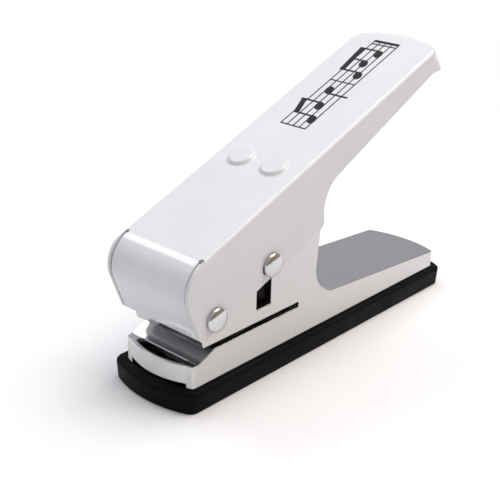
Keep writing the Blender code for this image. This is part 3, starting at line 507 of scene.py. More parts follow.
def bow(radius, half_width):
    """Front arc of the lip, at a radius from its centre, out to a half width."""
    half = math.degrees(math.asin(half_width / radius))
    return arc((0, LIP_APEX_Y + LIP_ARC_RADIUS), radius, 270 - half, 270 + half, BOW_STEPS)


casting = add_piece("plated_casting", across(casting_side(), -HALF_WIDTH, HALF_WIDTH), chrome())
corner = [(HALF_WIDTH - CORNER_BREAK_WIDTH, LIP_CORNER_Y),
          (HALF_WIDTH, LIP_CORNER_Y + CORNER_BREAK_LENGTH)]
plan = ([(-x, y) for x, y in reversed(corner)] + bow(LIP_ARC_RADIUS, FACET_X) + corner
        + end_arc(HALF_WIDTH, DECK_ARC_RADIUS, DECK_APEX_Y, DECK_CORNER_RADIUS, True))
carve(casting, upright(plan, FOOT_Z - PAST, EAR_TOP_Z + PAST), "INTERSECT")

inside = HALF_WIDTH - CAVITY_WALL
cavity_plan = bow(LIP_ARC_RADIUS - LIP_WALL, inside)
cavity_plan += end_arc(inside, DECK_ARC_RADIUS - CAVITY_WALL, DECK_APEX_Y - CAVITY_WALL,
                       DECK_CORNER_RADIUS, True)
cavity_side = [(LIP_APEX_Y, FOOT_Z - PAST), (LIP_APEX_Y, LIP_Z - RAMP_SKIN),
               (RAMP_FOOT_Y, LIP_Z - RAMP_SKIN), (RAMP_FOOT_Y + RAMP_LENGTH, CAVITY_Z),
               (DECK_START_Y, CAVITY_Z), (DECK_START_Y, deck_z(DECK_START_Y) - DECK_SKIN),
               (DECK_APEX_Y, deck_z(DECK_APEX_Y) - DECK_SKIN), (DECK_APEX_Y, FOOT_Z - PAST)]
cavity = add_piece("cavity", upright(cavity_plan, FOOT_Z - PAST / 2, GUIDE_Z))
carve(cavity, across(cavity_side, -HALF_WIDTH, HALF_WIDTH), "INTERSECT")
carve(casting, loosen(cavity))

mouth = bow(LIP_ARC_RADIUS - LIP_WALL, MOUTH_HALF_WIDTH)
mouth += [(MOUTH_HALF_WIDTH, RAMP_FOOT_Y), (-MOUTH_HALF_WIDTH, RAMP_FOOT_Y)]
carve(casting, upright(mouth, LIP_Z - RAMP_SKIN - PAST / 2, LIP_Z + PAST))
carve(casting, block((-FACET_X, FACET_X), (LIP_APEX_Y - PAST, LIP_CORNER_Y + CORNER_BREAK_LENGTH),
                     (FOOT_Z - PAST, LIP_NOTCH_Z)))
throat_middle_z = JAW_Z + THROAT_HEIGHT / 2
carve(casting, upright(plectrum(DIE_SEAT_GROWTH), FOOT_Z - PAST, throat_middle_z))
carve(casting, upright(plectrum(GUIDE_GROWTH), throat_middle_z, GUIDE_Z + PAST))

well_front, well_back = PIVOT_Y + PIVOT_BLOCK_BACK, EAR_BACK_Y - SEAT_BLOCK_DEPTH
well_end, ceiling = EAR_BACK_Y + EAR_BACK_LEAN + PAST, EAR_TOP_Z + PAST
well = [(well_front, GUIDE_Z), (well_back, GUIDE_Z), (well_back, seat_z(well_back)),
        (well_end, seat_z(well_end)), (well_end, ceiling), (well_front, ceiling)]
carve(casting, across(well, EAR_THICKNESS - HALF_WIDTH, HALF_WIDTH - EAR_THICKNESS))
wide = HALF_WIDTH + PAST
carve(casting, block((-wide, wide), (-WINDOW_HALF_WIDTH, WINDOW_HALF_WIDTH),
                     (WINDOW_BOTTOM_Z, WINDOW_TOP_Z)))
carve(casting, bar(PIN_HOLE_RADIUS, wide, PIVOT_Y, PIVOT_Z))
for x in (-SPRING_ACROSS, SPRING_ACROSS):
    hole = turned([(POST_HOLE_RADIUS, -POST_HOLE_DEPTH), (POST_HOLE_RADIUS, PAST)])
    hole.transform(Matrix.Translation((x, *on_handle(SPRING_ALONG, SEAT_LEVEL)))
                   @ Matrix.Rotation(SLOPE, 4, "X"))
    carve(casting, hole)
resharpen(casting, CASTING_EDGE_ANGLE)
soften(casting, CASTING_EDGE, angle=CASTING_EDGE_ANGLE)
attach(casting, "frame")
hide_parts("frame_casting")

# Die and its screws
# A hardened tool-steel plate let into the lower jaw from below. Its top was ground flat and its
# hole was wire cut; four zinc-plated screws hold its flange.
GRINDING_LINES = 0.3 * MM     # drawn coarser than they are, so that they show
GRINDING_STRETCH = 12         # a line's length over its width
FINE_DEPTH = 0.01 * MM        # of the fine grain on machined, plated and drawn metal
ZINC_SPOTS = 0.8 * MM
GROUND_EDGE = 0.12 * MM
SCREW_EDGE = 0.25 * MM
NODE_JOIN_DISTANCE = MM / 1000
NODE_FLAT_ANGLE = 0.5         # degrees


def ground_steel(name, low, high):
    """Hardened tool steel between two greys, with fine lines from the grinding wheel."""
    made, shader = new_material(name, Metallic=1.0, Roughness=0.35)
    place = add_node(made, "ShaderNodeTexCoord", {})
    stretch = add_node(made, "ShaderNodeMapping",
                       {"Vector": place.outputs["Object"],
                        "Scale": (1, GRINDING_STRETCH, GRINDING_STRETCH)})
    lines = add_node(made, "ShaderNodeTexNoise",
                     {"Vector": stretch.outputs["Vector"],
                      "Scale": 1 / (GRINDING_STRETCH * GRINDING_LINES), "Detail": 2})
    bump = add_node(made, "ShaderNodeBump", {"Height": lines.outputs["Fac"], "Distance": FINE_DEPTH})
    made.node_tree.links.new(bump.outputs["Normal"], shader.inputs["Normal"])
    vary(made, lines, shader.inputs["Base Color"], low, high)
    return made


def zinc_plated():
    """Bright zinc plate on steel, pale grey with a faint blue cast, slightly mottled."""
    made, shader = new_material("zinc_plated_steel", Metallic=1.0, Roughness=0.32)
    noise = grain(made, shader, ZINC_SPOTS, FINE_DEPTH)
    vary(made, noise, shader.inputs["Base Color"], "#b3b8c0", "#c4c7cc")
    return made


def finish_node(name, finish, radius):
    """Give a node that stays its material, joined faces and slightly rounded edges."""
    piece = frame["nodes"][name]
    piece.data.materials.clear()
    piece.data.materials.append(finish)
    weld = piece.modifiers.new("joined faces", "WELD")
    weld.merge_threshold = NODE_JOIN_DISTANCE
    flat = piece.modifiers.new("whole faces", "DECIMATE")
    flat.decimate_type = "DISSOLVE"
    flat.angle_limit = math.radians(NODE_FLAT_ANGLE)
    piece.data.shade_smooth()
    piece.data.set_sharp_from_angle(angle=math.radians(TRUE_EDGE))
    soften(piece, radius, 2)


fastener = zinc_plated()
finish_node("die_plate", ground_steel("ground_tool_steel", "#5c5d60", "#77787b"), GROUND_EDGE)
for number in range(1, 5):
    finish_node(f"die_screw_{number}", fastener, SCREW_EDGE)

# Punch and yoke
# The hardened punch slides in the upper jaw. A blackened steel yoke lies on it, its bar reaching
# out through the ears' windows; two screws hold them together.
OXIDE_SPOTS = 0.9 * MM
YOKE_EDGE = 0.3 * MM


def black_oxide():
    """Machined steel blackened in a hot oxide bath and oiled: almost black, with a dull sheen."""
    made, shader = new_material("black_oxide_steel", Metallic=0.6, Roughness=0.5)
    noise = grain(made, shader, OXIDE_SPOTS, FINE_DEPTH, 3.0)
    vary(made, noise, shader.inputs["Base Color"], "#0a0a0b", "#111112")
    return made


# The punch head's steel is near black, far darker than the die's, so that the window shows dark.
dark_punch_steel = ground_steel("dark_punch_tool_steel", "#1b1918", "#272423")
finish_node("punch_head", dark_punch_steel, GROUND_EDGE)
finish_node("punch_yoke", black_oxide(), YOKE_EDGE)
for number in (1, 2):
    finish_node(f"punch_screw_{number}", fastener, SCREW_EDGE)

# Pins, caps and spacers
# Two chrome-plated steel pins join handle, casting and yoke. Each has a domed head, and a cap
# like it closes the far end. Nylon washers keep the handle's walls off the casting.
PIN_RADIUS = 2.0 * MM
HEAD_RADIUS = 4.0 * MM
HEAD_HEIGHT = 2.0 * MM
HEAD_EDGE = 0.5 * MM
HEAD_ROUND = 0.25 * MM
HEAD_POLE = HEAD_RADIUS / 40  # radius of the tiny flat on top of the dome
HANDLE_OUTER = 17.75 * MM
PIN_TAIL = 1.3 * MM
PIN_STEPS = 64
TURNING_RINGS = 1.5 * MM      # drawn coarser than they are, so that they show
NYLON_SPOTS = 0.6 * MM
WASHER_EDGE = 0.15 * MM


def polished_chrome():
    """Chrome on a turned steel head: a small clear mirror with faint turning rings."""
    made, shader = new_material("chrome_plate_on_steel", Metallic=1.0, Roughness=0.1,
                                Base_Color=linear("#cfcfd1"))
    grain(made, shader, TURNING_RINGS, FINE_DEPTH, 1.0)
    return made


def nylon():
    """Natural nylon: milky white, slightly see-through at its edges."""
    made, shader = new_material("natural_nylon", Roughness=0.42, IOR=1.53,
                                Subsurface_Weight=0.2, Subsurface_Scale=0.5 * MM)
    noise = grain(made, shader, NYLON_SPOTS, FINE_DEPTH)
    vary(made, noise, shader.inputs["Base Color"], "#dcd9cf", "#e6e3da")
    return made


def dome(start):
    """Profile of a rivet head above its flat underside, with a rounded rim."""
    rise = HEAD_HEIGHT - HEAD_EDGE
    angles = [math.radians(a) for a in range(6, 90, 6)]
    crown = [(HEAD_RADIUS * math.cos(a), start + HEAD_EDGE + rise * math.sin(a)) for a in angles]
    rim = arc((HEAD_RADIUS - HEAD_ROUND, start + HEAD_ROUND), HEAD_ROUND, -90, 0, 5)
    return rim + crown + [(HEAD_POLE, start + HEAD_HEIGHT)]


def pin_piece(name, profile, side, y, z, finish):
    """Turned piece laid across the tool, pointing to one side."""
    shape = turned(profile, PIN_STEPS)
    shape.transform(Matrix.Translation((0, y, z)) @ Matrix.Rotation(side * math.pi / 2, 4, "Y"))
    return add_piece(name, shape, finish)


bright = polished_chrome()
milky = nylon()
under_head = HANDLE_OUTER + FIT_GAP
bore = PIN_RADIUS + FIT_GAP
shank = [(PIN_RADIUS - HEAD_ROUND, -under_head - PIN_TAIL),
         (PIN_RADIUS, HEAD_ROUND - under_head - PIN_TAIL), (PIN_RADIUS, under_head)]
cap_bore = [(bore, under_head + PIN_TAIL + FIT_GAP), (bore, under_head)]
for pin, body, y, z in (("pivot_pin", "frame", PIVOT_Y, PIVOT_Z),
                        ("driver_pin", "punch", 0, DRIVER_Z)):
    for node, stem, side in ((pin, shank, 1), (f"{pin}_cap", cap_bore, -1)):
        piece = pin_piece(f"{node}_turned", stem + dome(under_head), side, y, z, bright)
        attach(piece, body)
        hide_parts(node)
for place in ("pivot", "driver"):
    for side in ("left", "right"):
        finish_node(f"{place}_spacer_{side}", milky, WASHER_EDGE)

# Return springs and posts
# Two compression springs of drawn wire stand on posts pressed into the casting, and push up
# against pockets in the handle. Their end turns lie close.
SPRING_LENGTH = 28.4 * MM
SPRING_RADIUS = 3.25 * MM
SPRING_WIRE = 1.0 * MM
SPRING_TURNS = 7
SPRING_END_PITCH = 1.5 * MM
COIL_STEPS = 36               # in each turn
WIRE_SIDES = 12
DRAWING_LINES = 0.5 * MM      # drawn coarser than they are, so that they show
POST_EDGE = 0.3 * MM


def drawn_wire():
    """Oil-tempered spring wire: dark grey metal with fine drawing lines along it."""
    made, shader = new_material("drawn_spring_wire", Metallic=1.0, Roughness=0.3)
    noise = grain(made, shader, DRAWING_LINES, FINE_DEPTH, 3.0)
    vary(made, noise, shader.inputs["Base Color"], "#8d8e91", "#a6a7aa")
    return made


def spring_rise(turn):
    """Height of the wire's middle at a turn; the end turns lie close."""
    open_pitch = (SPRING_LENGTH - SPRING_WIRE - 2 * SPRING_END_PITCH) / (SPRING_TURNS - 2)
    if turn <= 1:
        return SPRING_WIRE / 2 + SPRING_END_PITCH * turn
    if turn >= SPRING_TURNS - 1:
        return SPRING_LENGTH - SPRING_WIRE / 2 - SPRING_END_PITCH * (SPRING_TURNS - turn)
    return SPRING_WIRE / 2 + SPRING_END_PITCH + open_pitch * (turn - 1)


wire = drawn_wire()
for side, x in (("left", -SPRING_ACROSS), ("right", SPRING_ACROSS)):
    rings = []
    for i in range(SPRING_TURNS * COIL_STEPS + 1):
        angle = math.tau * i / COIL_STEPS
        middle = (SPRING_RADIUS, spring_rise(i / COIL_STEPS))
        section = arc(middle, SPRING_WIRE / 2, 0, 360 - 360 / WIRE_SIDES, WIRE_SIDES - 1)
        rings.append([(r * math.cos(angle), r * math.sin(angle), z) for r, z in section])
    foot = (x, *on_handle(SPRING_ALONG, SEAT_LEVEL + FIT_GAP))
    coil = loft(rings)
    coil.transform(Matrix.Translation(foot) @ Matrix.Rotation(SLOPE, 4, "X"))
    spring = add_piece(f"wound_spring_{side}", coil, wire)
    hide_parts(f"return_spring_{side}")
    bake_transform(spring)
    finish_node(f"spring_post_{side}", fastener, POST_EDGE)

# Handle
# Cold-rolled sheet steel, cut, folded and drawn: a flap bends down over the nose, side walls
# fold down along both edges, and the far end is drawn into a lip. Two dimples take the springs.
# It is coated with white enamel, smooth and glossy with a faint orange peel.
SHEET = 1.2 * MM
HANDLE_INNER = HANDLE_OUTER - SHEET
HANDLE_TOP = 20.45 * MM
HANDLE_FRONT = 7.9 * MM
HANDLE_BEND = 10.5 * MM
FLAP_RECESS = 0.15 * MM
FLAP_FRONT = FLAP_RECESS - HANDLE_FRONT
FLAP_BEND = 10.9 * MM
BEND_START_LIFT = 0.01 * MM   # lets the bend cross the flat top instead of grazing it
LONG_BEND = 1.6 * MM
SKIRT = 4.0 * MM
TOE_RADIUS = 2.0 * MM
HEEL = 53.4 * MM
HEEL_RADIUS = 2.5 * MM
NECK_RADIUS = 12.0 * MM
NECK_START_ANGLE = 168        # where the neck's curve leaves the heel, in degrees
GRIP_START_DEPTH = 11.6 * MM
GRIP_END_DEPTH = 7.3 * MM
HANDLE_END = 131.2 * MM
END_LEAN = 1.9 * MM
END_RADIUS = 40.0 * MM
END_CORNER = 5.5 * MM
END_LIP_LENGTH = 11.5 * MM
END_LIP_RUN = 6.0 * MM
END_LIP_DEPTH = 8.5 * MM
END_LIP_STEPS = 9
SEAM_WIDTH = 0.8 * MM
SEAM_FOOT_WIDTH = 0.25 * MM
SEAM_END = 10.8 * MM
SEAM_RELIEF_RADIUS = 0.8 * MM
DRIVER_SLOT_PLAY = 0.35 * MM
DRIVER_RISE = 10.1 * MM
PUNCH_STROKE = 10.0 * MM
DIMPLE_RADIUS = 5.2 * MM
DIMPLE_FLAT_RADIUS = 3.6 * MM
DIMPLE_HEIGHT = 1.1 * MM
DIMPLE_STEPS = 12
POCKET_RADIUS = 4.15 * MM
POCKET_DEPTH = 1.0 * MM
SHEET_EDGE = 0.25 * MM
FOLD_ANGLE = 30               # degrees that make an edge of the bare shell,
CUT_ANGLE = 40                # one that is rounded,
DIMPLE_ANGLE = 34             # and one of the finished handle
ORANGE_PEEL = 2.2 * MM
ORANGE_PEEL_DEPTH = 0.006 * MM
ENAMEL_SPOTS = 22 * MM


def enamel():
    """Stoved white enamel: cool white under a clear gloss, with a faint orange peel."""
    made, shader = new_material("stoved_white_enamel", Roughness=0.5, IOR=1.5,
                                Specular_IOR_Level=0.25, Coat_Weight=0.9, Coat_Roughness=0.1)
    grain(made, shader, ORANGE_PEEL, ORANGE_PEEL_DEPTH, 1.0)
    vary(made, spots(made, ENAMEL_SPOTS), shader.inputs["Base Color"], "#e6e7ea", "#ecedef")
    return made


def to_handle(shape):
    """Turn and move a body from the handle's own frame to its place."""
    shape.transform(Matrix.Translation((0, PIVOT_Y, PIVOT_Z)) @ Matrix.Rotation(SLOPE, 4, "X"))
    return shape


def handle_plan(inset, height, lean=0):
    """Plan of the handle at a height over the pivot, drawn in by inset and its end by lean."""
    front = -HANDLE_FRONT - PAST
    half_width = HANDLE_OUTER - inset
    end = end_arc(half_width, END_RADIUS - inset, HANDLE_END - lean - inset, END_CORNER - inset,
                  True)
    return [(x, y, height) for x, y in [(-half_width, front), (half_width, front)] + end]


def handle_shell(inset, top, edge_radius):
    """Body filling the handle's channel, its long upper edges rounded."""
    rings = [handle_plan(inset, -SKIRT - PAST), handle_plan(inset, HANDLE_TOP - END_LIP_DEPTH)]
    for angle in range(0, 91, 9):
        pull = edge_radius * (1 - math.cos(math.radians(angle)))
        height = top - edge_radius * (1 - math.sin(math.radians(angle)))
        rings.append(handle_plan(inset + pull, height, END_LEAN))
    return to_handle(loft(rings))


def handle_side():
    """Side outline of the handle's walls, from the toe round the bottom to the top corner."""
    neck_start = HEEL + NECK_RADIUS
    neck = (neck_start, HANDLE_TOP - GRIP_START_DEPTH - NECK_RADIUS)
    corner = (HANDLE_BEND - HANDLE_FRONT, HANDLE_TOP - HANDLE_BEND)
    top, far = HANDLE_TOP + PAST, HANDLE_END + PAST
    outline = arc((TOE_RADIUS - HANDLE_FRONT, TOE_RADIUS - SKIRT), TOE_RADIUS, 180, 270)
    outline += arc((HEEL - HEEL_RADIUS, HEEL_RADIUS - SKIRT), HEEL_RADIUS, 270, 360)
    outline += arc(neck, NECK_RADIUS, NECK_START_ANGLE, 90, 24)
    for i in range(END_LIP_STEPS + 1):
        share = i / END_LIP_STEPS
        ease = (1 - math.cos(math.pi * share)) / 2
        outline.append((HANDLE_END - END_LIP_LENGTH + END_LIP_RUN * share,
                        HANDLE_TOP - GRIP_END_DEPTH - (END_LIP_DEPTH - GRIP_END_DEPTH) * ease))
    outline += [(far, HANDLE_TOP - END_LIP_DEPTH), (far, top), (corner[0], top)]
    return outline + arc(corner, HANDLE_BEND, 90, 180, 30)


def flap_face():
    """Side outline of the space in front of the flap."""
    bend = (FLAP_FRONT + FLAP_BEND, HANDLE_TOP - FLAP_BEND + BEND_START_LIFT)
    low, top, outside = -SKIRT - PAST, HANDLE_TOP + PAST, -HANDLE_FRONT - PAST
    return (arc(bend, FLAP_BEND, 90, 180, BOW_STEPS)
            + [(FLAP_FRONT, low), (outside, low), (outside, top), (bend[0], top)])


def handle_hollow():
    """Side outline of the space inside the handle's sheet."""
    bend = (FLAP_FRONT + FLAP_BEND, HANDLE_TOP - FLAP_BEND)
    low, top, far = -SKIRT - 2 * PAST, HANDLE_TOP + PAST, HANDLE_END + PAST
    return (arc(bend, FLAP_BEND - SHEET, 90, 180, BOW_STEPS)
            + [(FLAP_FRONT + SHEET, low), (far, low), (far, top), (bend[0], top)])


def driver_slot():
    """Slot through the handle's walls, in which the driver pin nears the pivot as it sinks."""
    reaches = [math.hypot(-PIVOT_Y, DRIVER_RISE - drop) for drop in (0, PUNCH_STROKE)]
    height = reaches[0] * math.sin(math.atan2(DRIVER_RISE, -PIVOT_Y) - SLOPE)
    radius = PIN_RADIUS + DRIVER_SLOT_PLAY
    outline = arc((min(reaches), height), radius, 90, 270)
    outline += arc((max(reaches), height), radius, -90, 90)
    return to_handle(across(outline, -HANDLE_OUTER - PAST, HANDLE_OUTER + PAST))


def dimple_profile():
    """Section of a pressed dimple: a flat crown that eases down into the sheet."""
    profile = [(DIMPLE_RADIUS, -SHEET / 2)]
    for i in range(DIMPLE_STEPS + 1):
        share = i / DIMPLE_STEPS
        ease = (1 + math.cos(math.pi * share)) / 2
        profile.append((DIMPLE_RADIUS + (DIMPLE_FLAT_RADIUS - DIMPLE_RADIUS) * share,
                        DIMPLE_HEIGHT * (1 - ease)))
    return profile


handle = add_piece("folded_handle", handle_shell(0, HANDLE_TOP, LONG_BEND), enamel())
wide = HANDLE_OUTER + PAST
carve(handle, to_handle(across(handle_side(), -wide, wide)), "INTERSECT")
flap_side = HANDLE_INNER - SEAM_FOOT_WIDTH / 2
carve(handle, to_handle(across(flap_face(), -flap_side, flap_side)))
inner = add_piece("inner", handle_shell(SHEET, HANDLE_TOP - SHEET, LONG_BEND - SHEET))
carve(inner, to_handle(across(handle_hollow(), -wide, wide)), "INTERSECT")
carve(handle, loosen(inner))
seam_end = SEAM_END - HANDLE_FRONT
low, top = -SKIRT - PAST, HANDLE_TOP + PAST
seam_view = [(HANDLE_INNER - SEAM_FOOT_WIDTH, low), (HANDLE_INNER, low), (HANDLE_INNER, top),
             (HANDLE_INNER - SEAM_WIDTH, top), (HANDLE_INNER - SEAM_WIDTH, HANDLE_TOP),
             (HANDLE_INNER - SEAM_FOOT_WIDTH, HANDLE_TOP - FLAP_BEND)]
for sign in (-1, 1):
    carve(handle, to_handle(loft([[(sign * x, y, z) for x, z in seam_view]
                                  for y in (-HANDLE_FRONT - PAST, seam_end)])))
    relief = turned([(SEAM_RELIEF_RADIUS, -2 * PAST), (SEAM_RELIEF_RADIUS, PAST)], 32)
    relief_x = sign * (HANDLE_INNER - SEAM_WIDTH / 2)
    relief.transform(Matrix.Translation((relief_x, seam_end, HANDLE_TOP)))
    carve(handle, to_handle(relief))
resharpen(handle, FOLD_ANGLE)
soften(handle, SHEET_EDGE, angle=CUT_ANGLE)
settle(handle)
for sign in (-1, 1):
    crown = turned(dimple_profile(), PIN_STEPS)
    crown.transform(Matrix.Translation((sign * SPRING_ACROSS, SPRING_ALONG, HANDLE_TOP)))
    carve(handle, to_handle(crown), "UNION")
    pocket = turned([(POCKET_RADIUS, -PAST), (POCKET_RADIUS, POCKET_DEPTH)])
    pocket.transform(Matrix.Translation((sign * SPRING_ACROSS, SPRING_ALONG, HANDLE_TOP - SHEET)))
    carve(handle, to_handle(pocket))
carve(handle, bar(PIN_HOLE_RADIUS, wide, PIVOT_Y, PIVOT_Z))
carve(handle, driver_slot())
resharpen(handle, DIMPLE_ANGLE)
flat = handle.modifiers.new("flat faces", "WEIGHTED_NORMAL")
flat.keep_sharp = True
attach(handle, "handle")
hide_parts("handle")

# Print on the handle
# A bar of music screen printed in black ink on the grip: five lines, notes with beams, and bar
# lines. Each shape is a film a few hundredths thick, joined into one.
INK_START = 68.0 * MM         # along the handle
INK_MIDDLE = -2.0 * MM        # across it
INK_LENGTH = 55.0 * MM
INK_FILM = 0.03 * MM
STAVE_GAP = 2.6 * MM
STAVE_LINE = 0.5 * MM
STEM_WIDTH = 0.85 * MM
STEM_LENGTH = 9.0 * MM
BEAM_WIDTH = 2.2 * MM
NOTE_LENGTH = 2.3 * MM        # half of a note head's long axis
NOTE_WIDTH = 1.6 * MM
NOTE_TILT = math.radians(22)
NOTE_STEPS = 40
INK_SPOTS = 0.3 * MM
INK_GRAIN_DEPTH = 0.005 * MM
# mm along the print, half gaps above the middle line, and the way of the stem
NOTES = ((5.5, -3, 1), (13.0, -1, 1), (22.0, 1, -1), (33.0, -2, 1), (40.0, 0, 1), (47.0, -1, 1))
BEAMS = ((0, 1), (3, 5))      # first and last note under each beam
BAR_LINES = ((0.3, 0.6), (27.8, 0.6), (52.4, 0.6), (54.3, 1.4))   # mm along the print, mm wide


def ink():
    """Screen-printing ink: black, matt, a little thinner in places."""
    made, shader = new_material("screen_printing_ink", Roughness=0.5, Specular_IOR_Level=0.3)
    noise = grain(made, shader, INK_SPOTS, INK_GRAIN_DEPTH)
    vary(made, noise, shader.inputs["Base Color"], "#141213", "#1e1b1c")
    return made


def film(outline):
    """Thin body on the handle's top from (along, up) points of the printed picture."""
    return loft([[(INK_MIDDLE - up, INK_START + along, HANDLE_TOP + z) for along, up in outline]
                 for z in (-INK_FILM, INK_FILM)])


def strip(along, up, half_width, rise=0):
    """Film between two places along the picture, at a height that may climb."""
    (a0, a1), (u0, u1) = along, (up, up + rise)
    return film([(a0, u0 - half_width), (a1, u1 - half_width),
                 (a1, u1 + half_width), (a0, u0 + half_width)])


def note_place(number):
    """Where a note stands along and above the middle line, and the way of its stem."""
    along, step, way = NOTES[number]
    return along * MM, step * STAVE_GAP / 2, way


def stem_side(number):
    """Middle of a note's stem along the picture."""
    along, _, way = note_place(number)
    return along + way * (NOTE_LENGTH * math.cos(NOTE_TILT) - STEM_WIDTH / 2)


def note_head(along, up):
    """Outline of a tilted oval."""
    angles = [math.tau * i / NOTE_STEPS for i in range(NOTE_STEPS)]
    oval = [(NOTE_LENGTH * math.cos(a), NOTE_WIDTH * math.sin(a)) for a in angles]
    tilt_a, tilt_u = math.cos(NOTE_TILT), math.sin(NOTE_TILT)
    return [(along + a * tilt_a - u * tilt_u, up + a * tilt_u + u * tilt_a) for a, u in oval]


def beam_ends(beam):
    """Heights of the stems' tips at a beam's first and last note."""
    return [note_place(number)[1] + STEM_LENGTH for number in beam]


shapes = [strip((0, INK_LENGTH), row * STAVE_GAP, STAVE_LINE / 2) for row in range(-1, 3)]
for along, width in BAR_LINES:
    shapes.append(strip(((along - width / 2) * MM, (along + width / 2) * MM), 0,
                        2 * STAVE_GAP + STAVE_LINE / 2))
for number in range(len(NOTES)):
    along, up, way = note_place(number)
    shapes.append(film(note_head(along, up)))
    middle, length = stem_side(number), STEM_LENGTH
    for first, last in BEAMS:
        if first <= number <= last:
            start, end = beam_ends((first, last))
            share = (middle - stem_side(first)) / (stem_side(last) - stem_side(first))
            length = start + (end - start) * share - up
    low, high = sorted((up, up + way * length))
    shapes.append(strip((middle - STEM_WIDTH / 2, middle + STEM_WIDTH / 2), (low + high) / 2,
                        (high - low) / 2))
for first, last in BEAMS:
    start, end = (tip - BEAM_WIDTH / 2 for tip in beam_ends((first, last)))
    shapes.append(strip((stem_side(first) - STEM_WIDTH / 2, stem_side(last) + STEM_WIDTH / 2),
                        start, BEAM_WIDTH / 2, end - start))
music = add_piece("printed_music", strip((0, INK_LENGTH), -2 * STAVE_GAP, STAVE_LINE / 2), ink())
for shape in shapes:
    carve(music, shape, "UNION")
music.data.shade_flat()
music.data.transform(Matrix.Translation((0, PIVOT_Y, PIVOT_Z)) @ Matrix.Rotation(SLOPE, 4, "X"))
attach(music, "handle")

# Stage
# A white table under a large soft lamp that hangs a little behind the tool and to its right. A
# small lamp on the left lays a band of light along the flap's bend. The room is pale and cool on
# the tool's left and darker and warm on its right, and far from the tool the table is plain white.
LAMP_DISTANCE = 900 * MM
LAMP_AIM = Vector((0, 30, 30)) * MM
LAMPS = (("soft_lamp", Vector((0.19, 0.34, 0.92)), 760 * MM, 6.0),   # direction, size, power
         ("fill_lamp", Vector((-0.61, -0.1, 0.785)), 260 * MM, 1.1))
FLOOR_HALF_WIDTH = 6000 * MM
FLOOR_TOP = -MM / 100         # just under the tray
FLOOR_MIDDLE_Y = 33 * MM
SHADOW_REACH = 120 * MM       # from the tool's middle to where the table starts to turn plain
PLAIN_REACH = 380 * MM
WHITE = (1, 1, 1, 1)
ROOM_LOW = (0.4, 0.4, 0.4, 1)         # light from the height of the table
ROOM_HIGH = (0.57, 0.57, 0.57, 1)     # light from high up
ROOM_HIGH_PLACE = 0.9
BRIGHT_SIDE = (-0.9, 0.1, 0)
BRIGHT_FACTORS = (0.54, 1.2)          # facing away from the bright side, and facing it
WARM_SIDE = (0.98, 0.2, 0)
COOL_TINT = (0.88, 0.98, 1.24, 1)
WARM_TINT = (1.24, 1.0, 0.75, 1)

floor = add_piece("floor", block((-FLOOR_HALF_WIDTH, FLOOR_HALF_WIDTH),
                                 (-FLOOR_HALF_WIDTH, FLOOR_HALF_WIDTH), (-PAST, FLOOR_TOP)))
paint, paint_shader = new_material("table_white", Roughness=0.9, Specular_IOR_Level=0.0)
path = add_node(paint, "ShaderNodeLightPath", {})
seen = add_node(paint, "ShaderNodeMath",
                {0: path.outputs["Is Camera Ray"], 1: path.outputs["Is Glossy Ray"]},
                operation="MAXIMUM")
tone = add_node(paint, "ShaderNodeMix",
                {"Factor": seen.outputs[0], "A": linear("#e6e6e6"), "B": WHITE}, data_type="RGBA")
paint.node_tree.links.new(tone.outputs["Result"], paint_shader.inputs["Base Color"])
place = add_node(paint, "ShaderNodeTexCoord", {})
reach = add_node(paint, "ShaderNodeVectorMath",
                 {0: place.outputs["Object"], 1: (0, FLOOR_MIDDLE_Y, 0)}, operation="DISTANCE")
away = add_node(paint, "ShaderNodeMapRange",
                {"Value": reach.outputs["Value"], "From Min": SHADOW_REACH,
                 "From Max": PLAIN_REACH}, interpolation_type="SMOOTHSTEP")
plain = add_node(paint, "ShaderNodeMath", {0: seen.outputs[0], 1: away.outputs["Result"]},
                 operation="MULTIPLY")
white = add_node(paint, "ShaderNodeEmission", {"Color": WHITE, "Strength": 1.0})
table = add_node(paint, "ShaderNodeMixShader",
                 {0: plain.outputs[0], 1: paint_shader.outputs[0], 2: white.outputs[0]})
paint.node_tree.links.new(table.outputs[0],
                          paint.node_tree.nodes["Material Output"].inputs["Surface"])
floor.data.materials.append(paint)

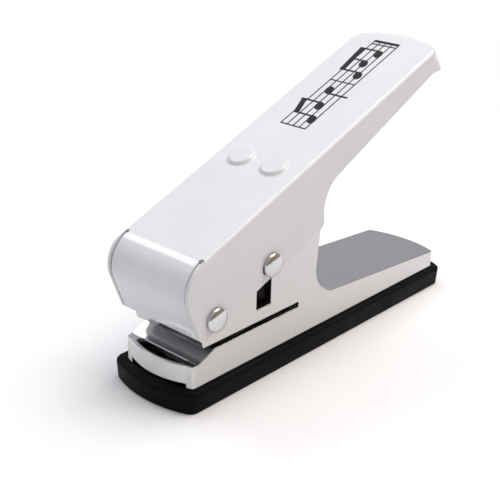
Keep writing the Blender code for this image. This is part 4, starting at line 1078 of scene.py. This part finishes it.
for name, direction, size, power in LAMPS:
    lamp = bpy.data.objects.new(name, bpy.data.lights.new(name, "AREA"))
    lamp.data.size = size
    lamp.data.energy = power
    lamp.location = direction.normalized() * LAMP_DISTANCE + LAMP_AIM
    lamp.rotation_euler = direction.to_track_quat("Z", "Y").to_euler()
    bpy.context.scene.collection.objects.link(lamp)

room = bpy.data.worlds.new("pale_room")
bpy.context.scene.world = room
room.use_nodes = True
room.node_tree.nodes.clear()
path = add_node(room, "ShaderNodeLightPath", {})
place = add_node(room, "ShaderNodeTexCoord", {})
split = add_node(room, "ShaderNodeSeparateXYZ", {"Vector": place.outputs["Generated"]})
sky = add_node(room, "ShaderNodeValToRGB", {"Fac": split.outputs["Z"]})
for element, share, level in zip(sky.color_ramp.elements, (0.0, ROOM_HIGH_PLACE),
                                 (ROOM_LOW, ROOM_HIGH)):
    element.position = share
    element.color = level
facing = add_node(room, "ShaderNodeVectorMath",
                  {0: place.outputs["Generated"], 1: BRIGHT_SIDE}, operation="DOT_PRODUCT")
lit = add_node(room, "ShaderNodeMapRange",
               {"Value": facing.outputs["Value"], "From Min": -1.0,
                "To Min": BRIGHT_FACTORS[0], "To Max": BRIGHT_FACTORS[1]})
shade = add_node(room, "ShaderNodeMix",
                 {"Factor": 1.0, "A": sky.outputs["Color"], "B": lit.outputs["Result"]},
                 data_type="RGBA", blend_type="MULTIPLY")
turning = add_node(room, "ShaderNodeVectorMath",
                   {0: place.outputs["Generated"], 1: WARM_SIDE}, operation="DOT_PRODUCT")
warmth = add_node(room, "ShaderNodeMapRange", {"Value": turning.outputs["Value"], "From Min": -1.0})
cast = add_node(room, "ShaderNodeMix",
                {"Factor": warmth.outputs["Result"], "A": COOL_TINT, "B": WARM_TINT},
                data_type="RGBA")
tinted = add_node(room, "ShaderNodeMix",
                  {"Factor": 1.0, "A": shade.outputs["Result"], "B": cast.outputs["Result"]},
                  data_type="RGBA", blend_type="MULTIPLY")
tone = add_node(room, "ShaderNodeMix",
                {"Factor": path.outputs["Is Camera Ray"], "A": tinted.outputs["Result"],
                 "B": WHITE}, data_type="RGBA")
glow = add_node(room, "ShaderNodeBackground", {"Color": tone.outputs["Result"], "Strength": 1.0})
add_node(room, "ShaderNodeOutputWorld", {"Surface": glow.outputs["Background"]})
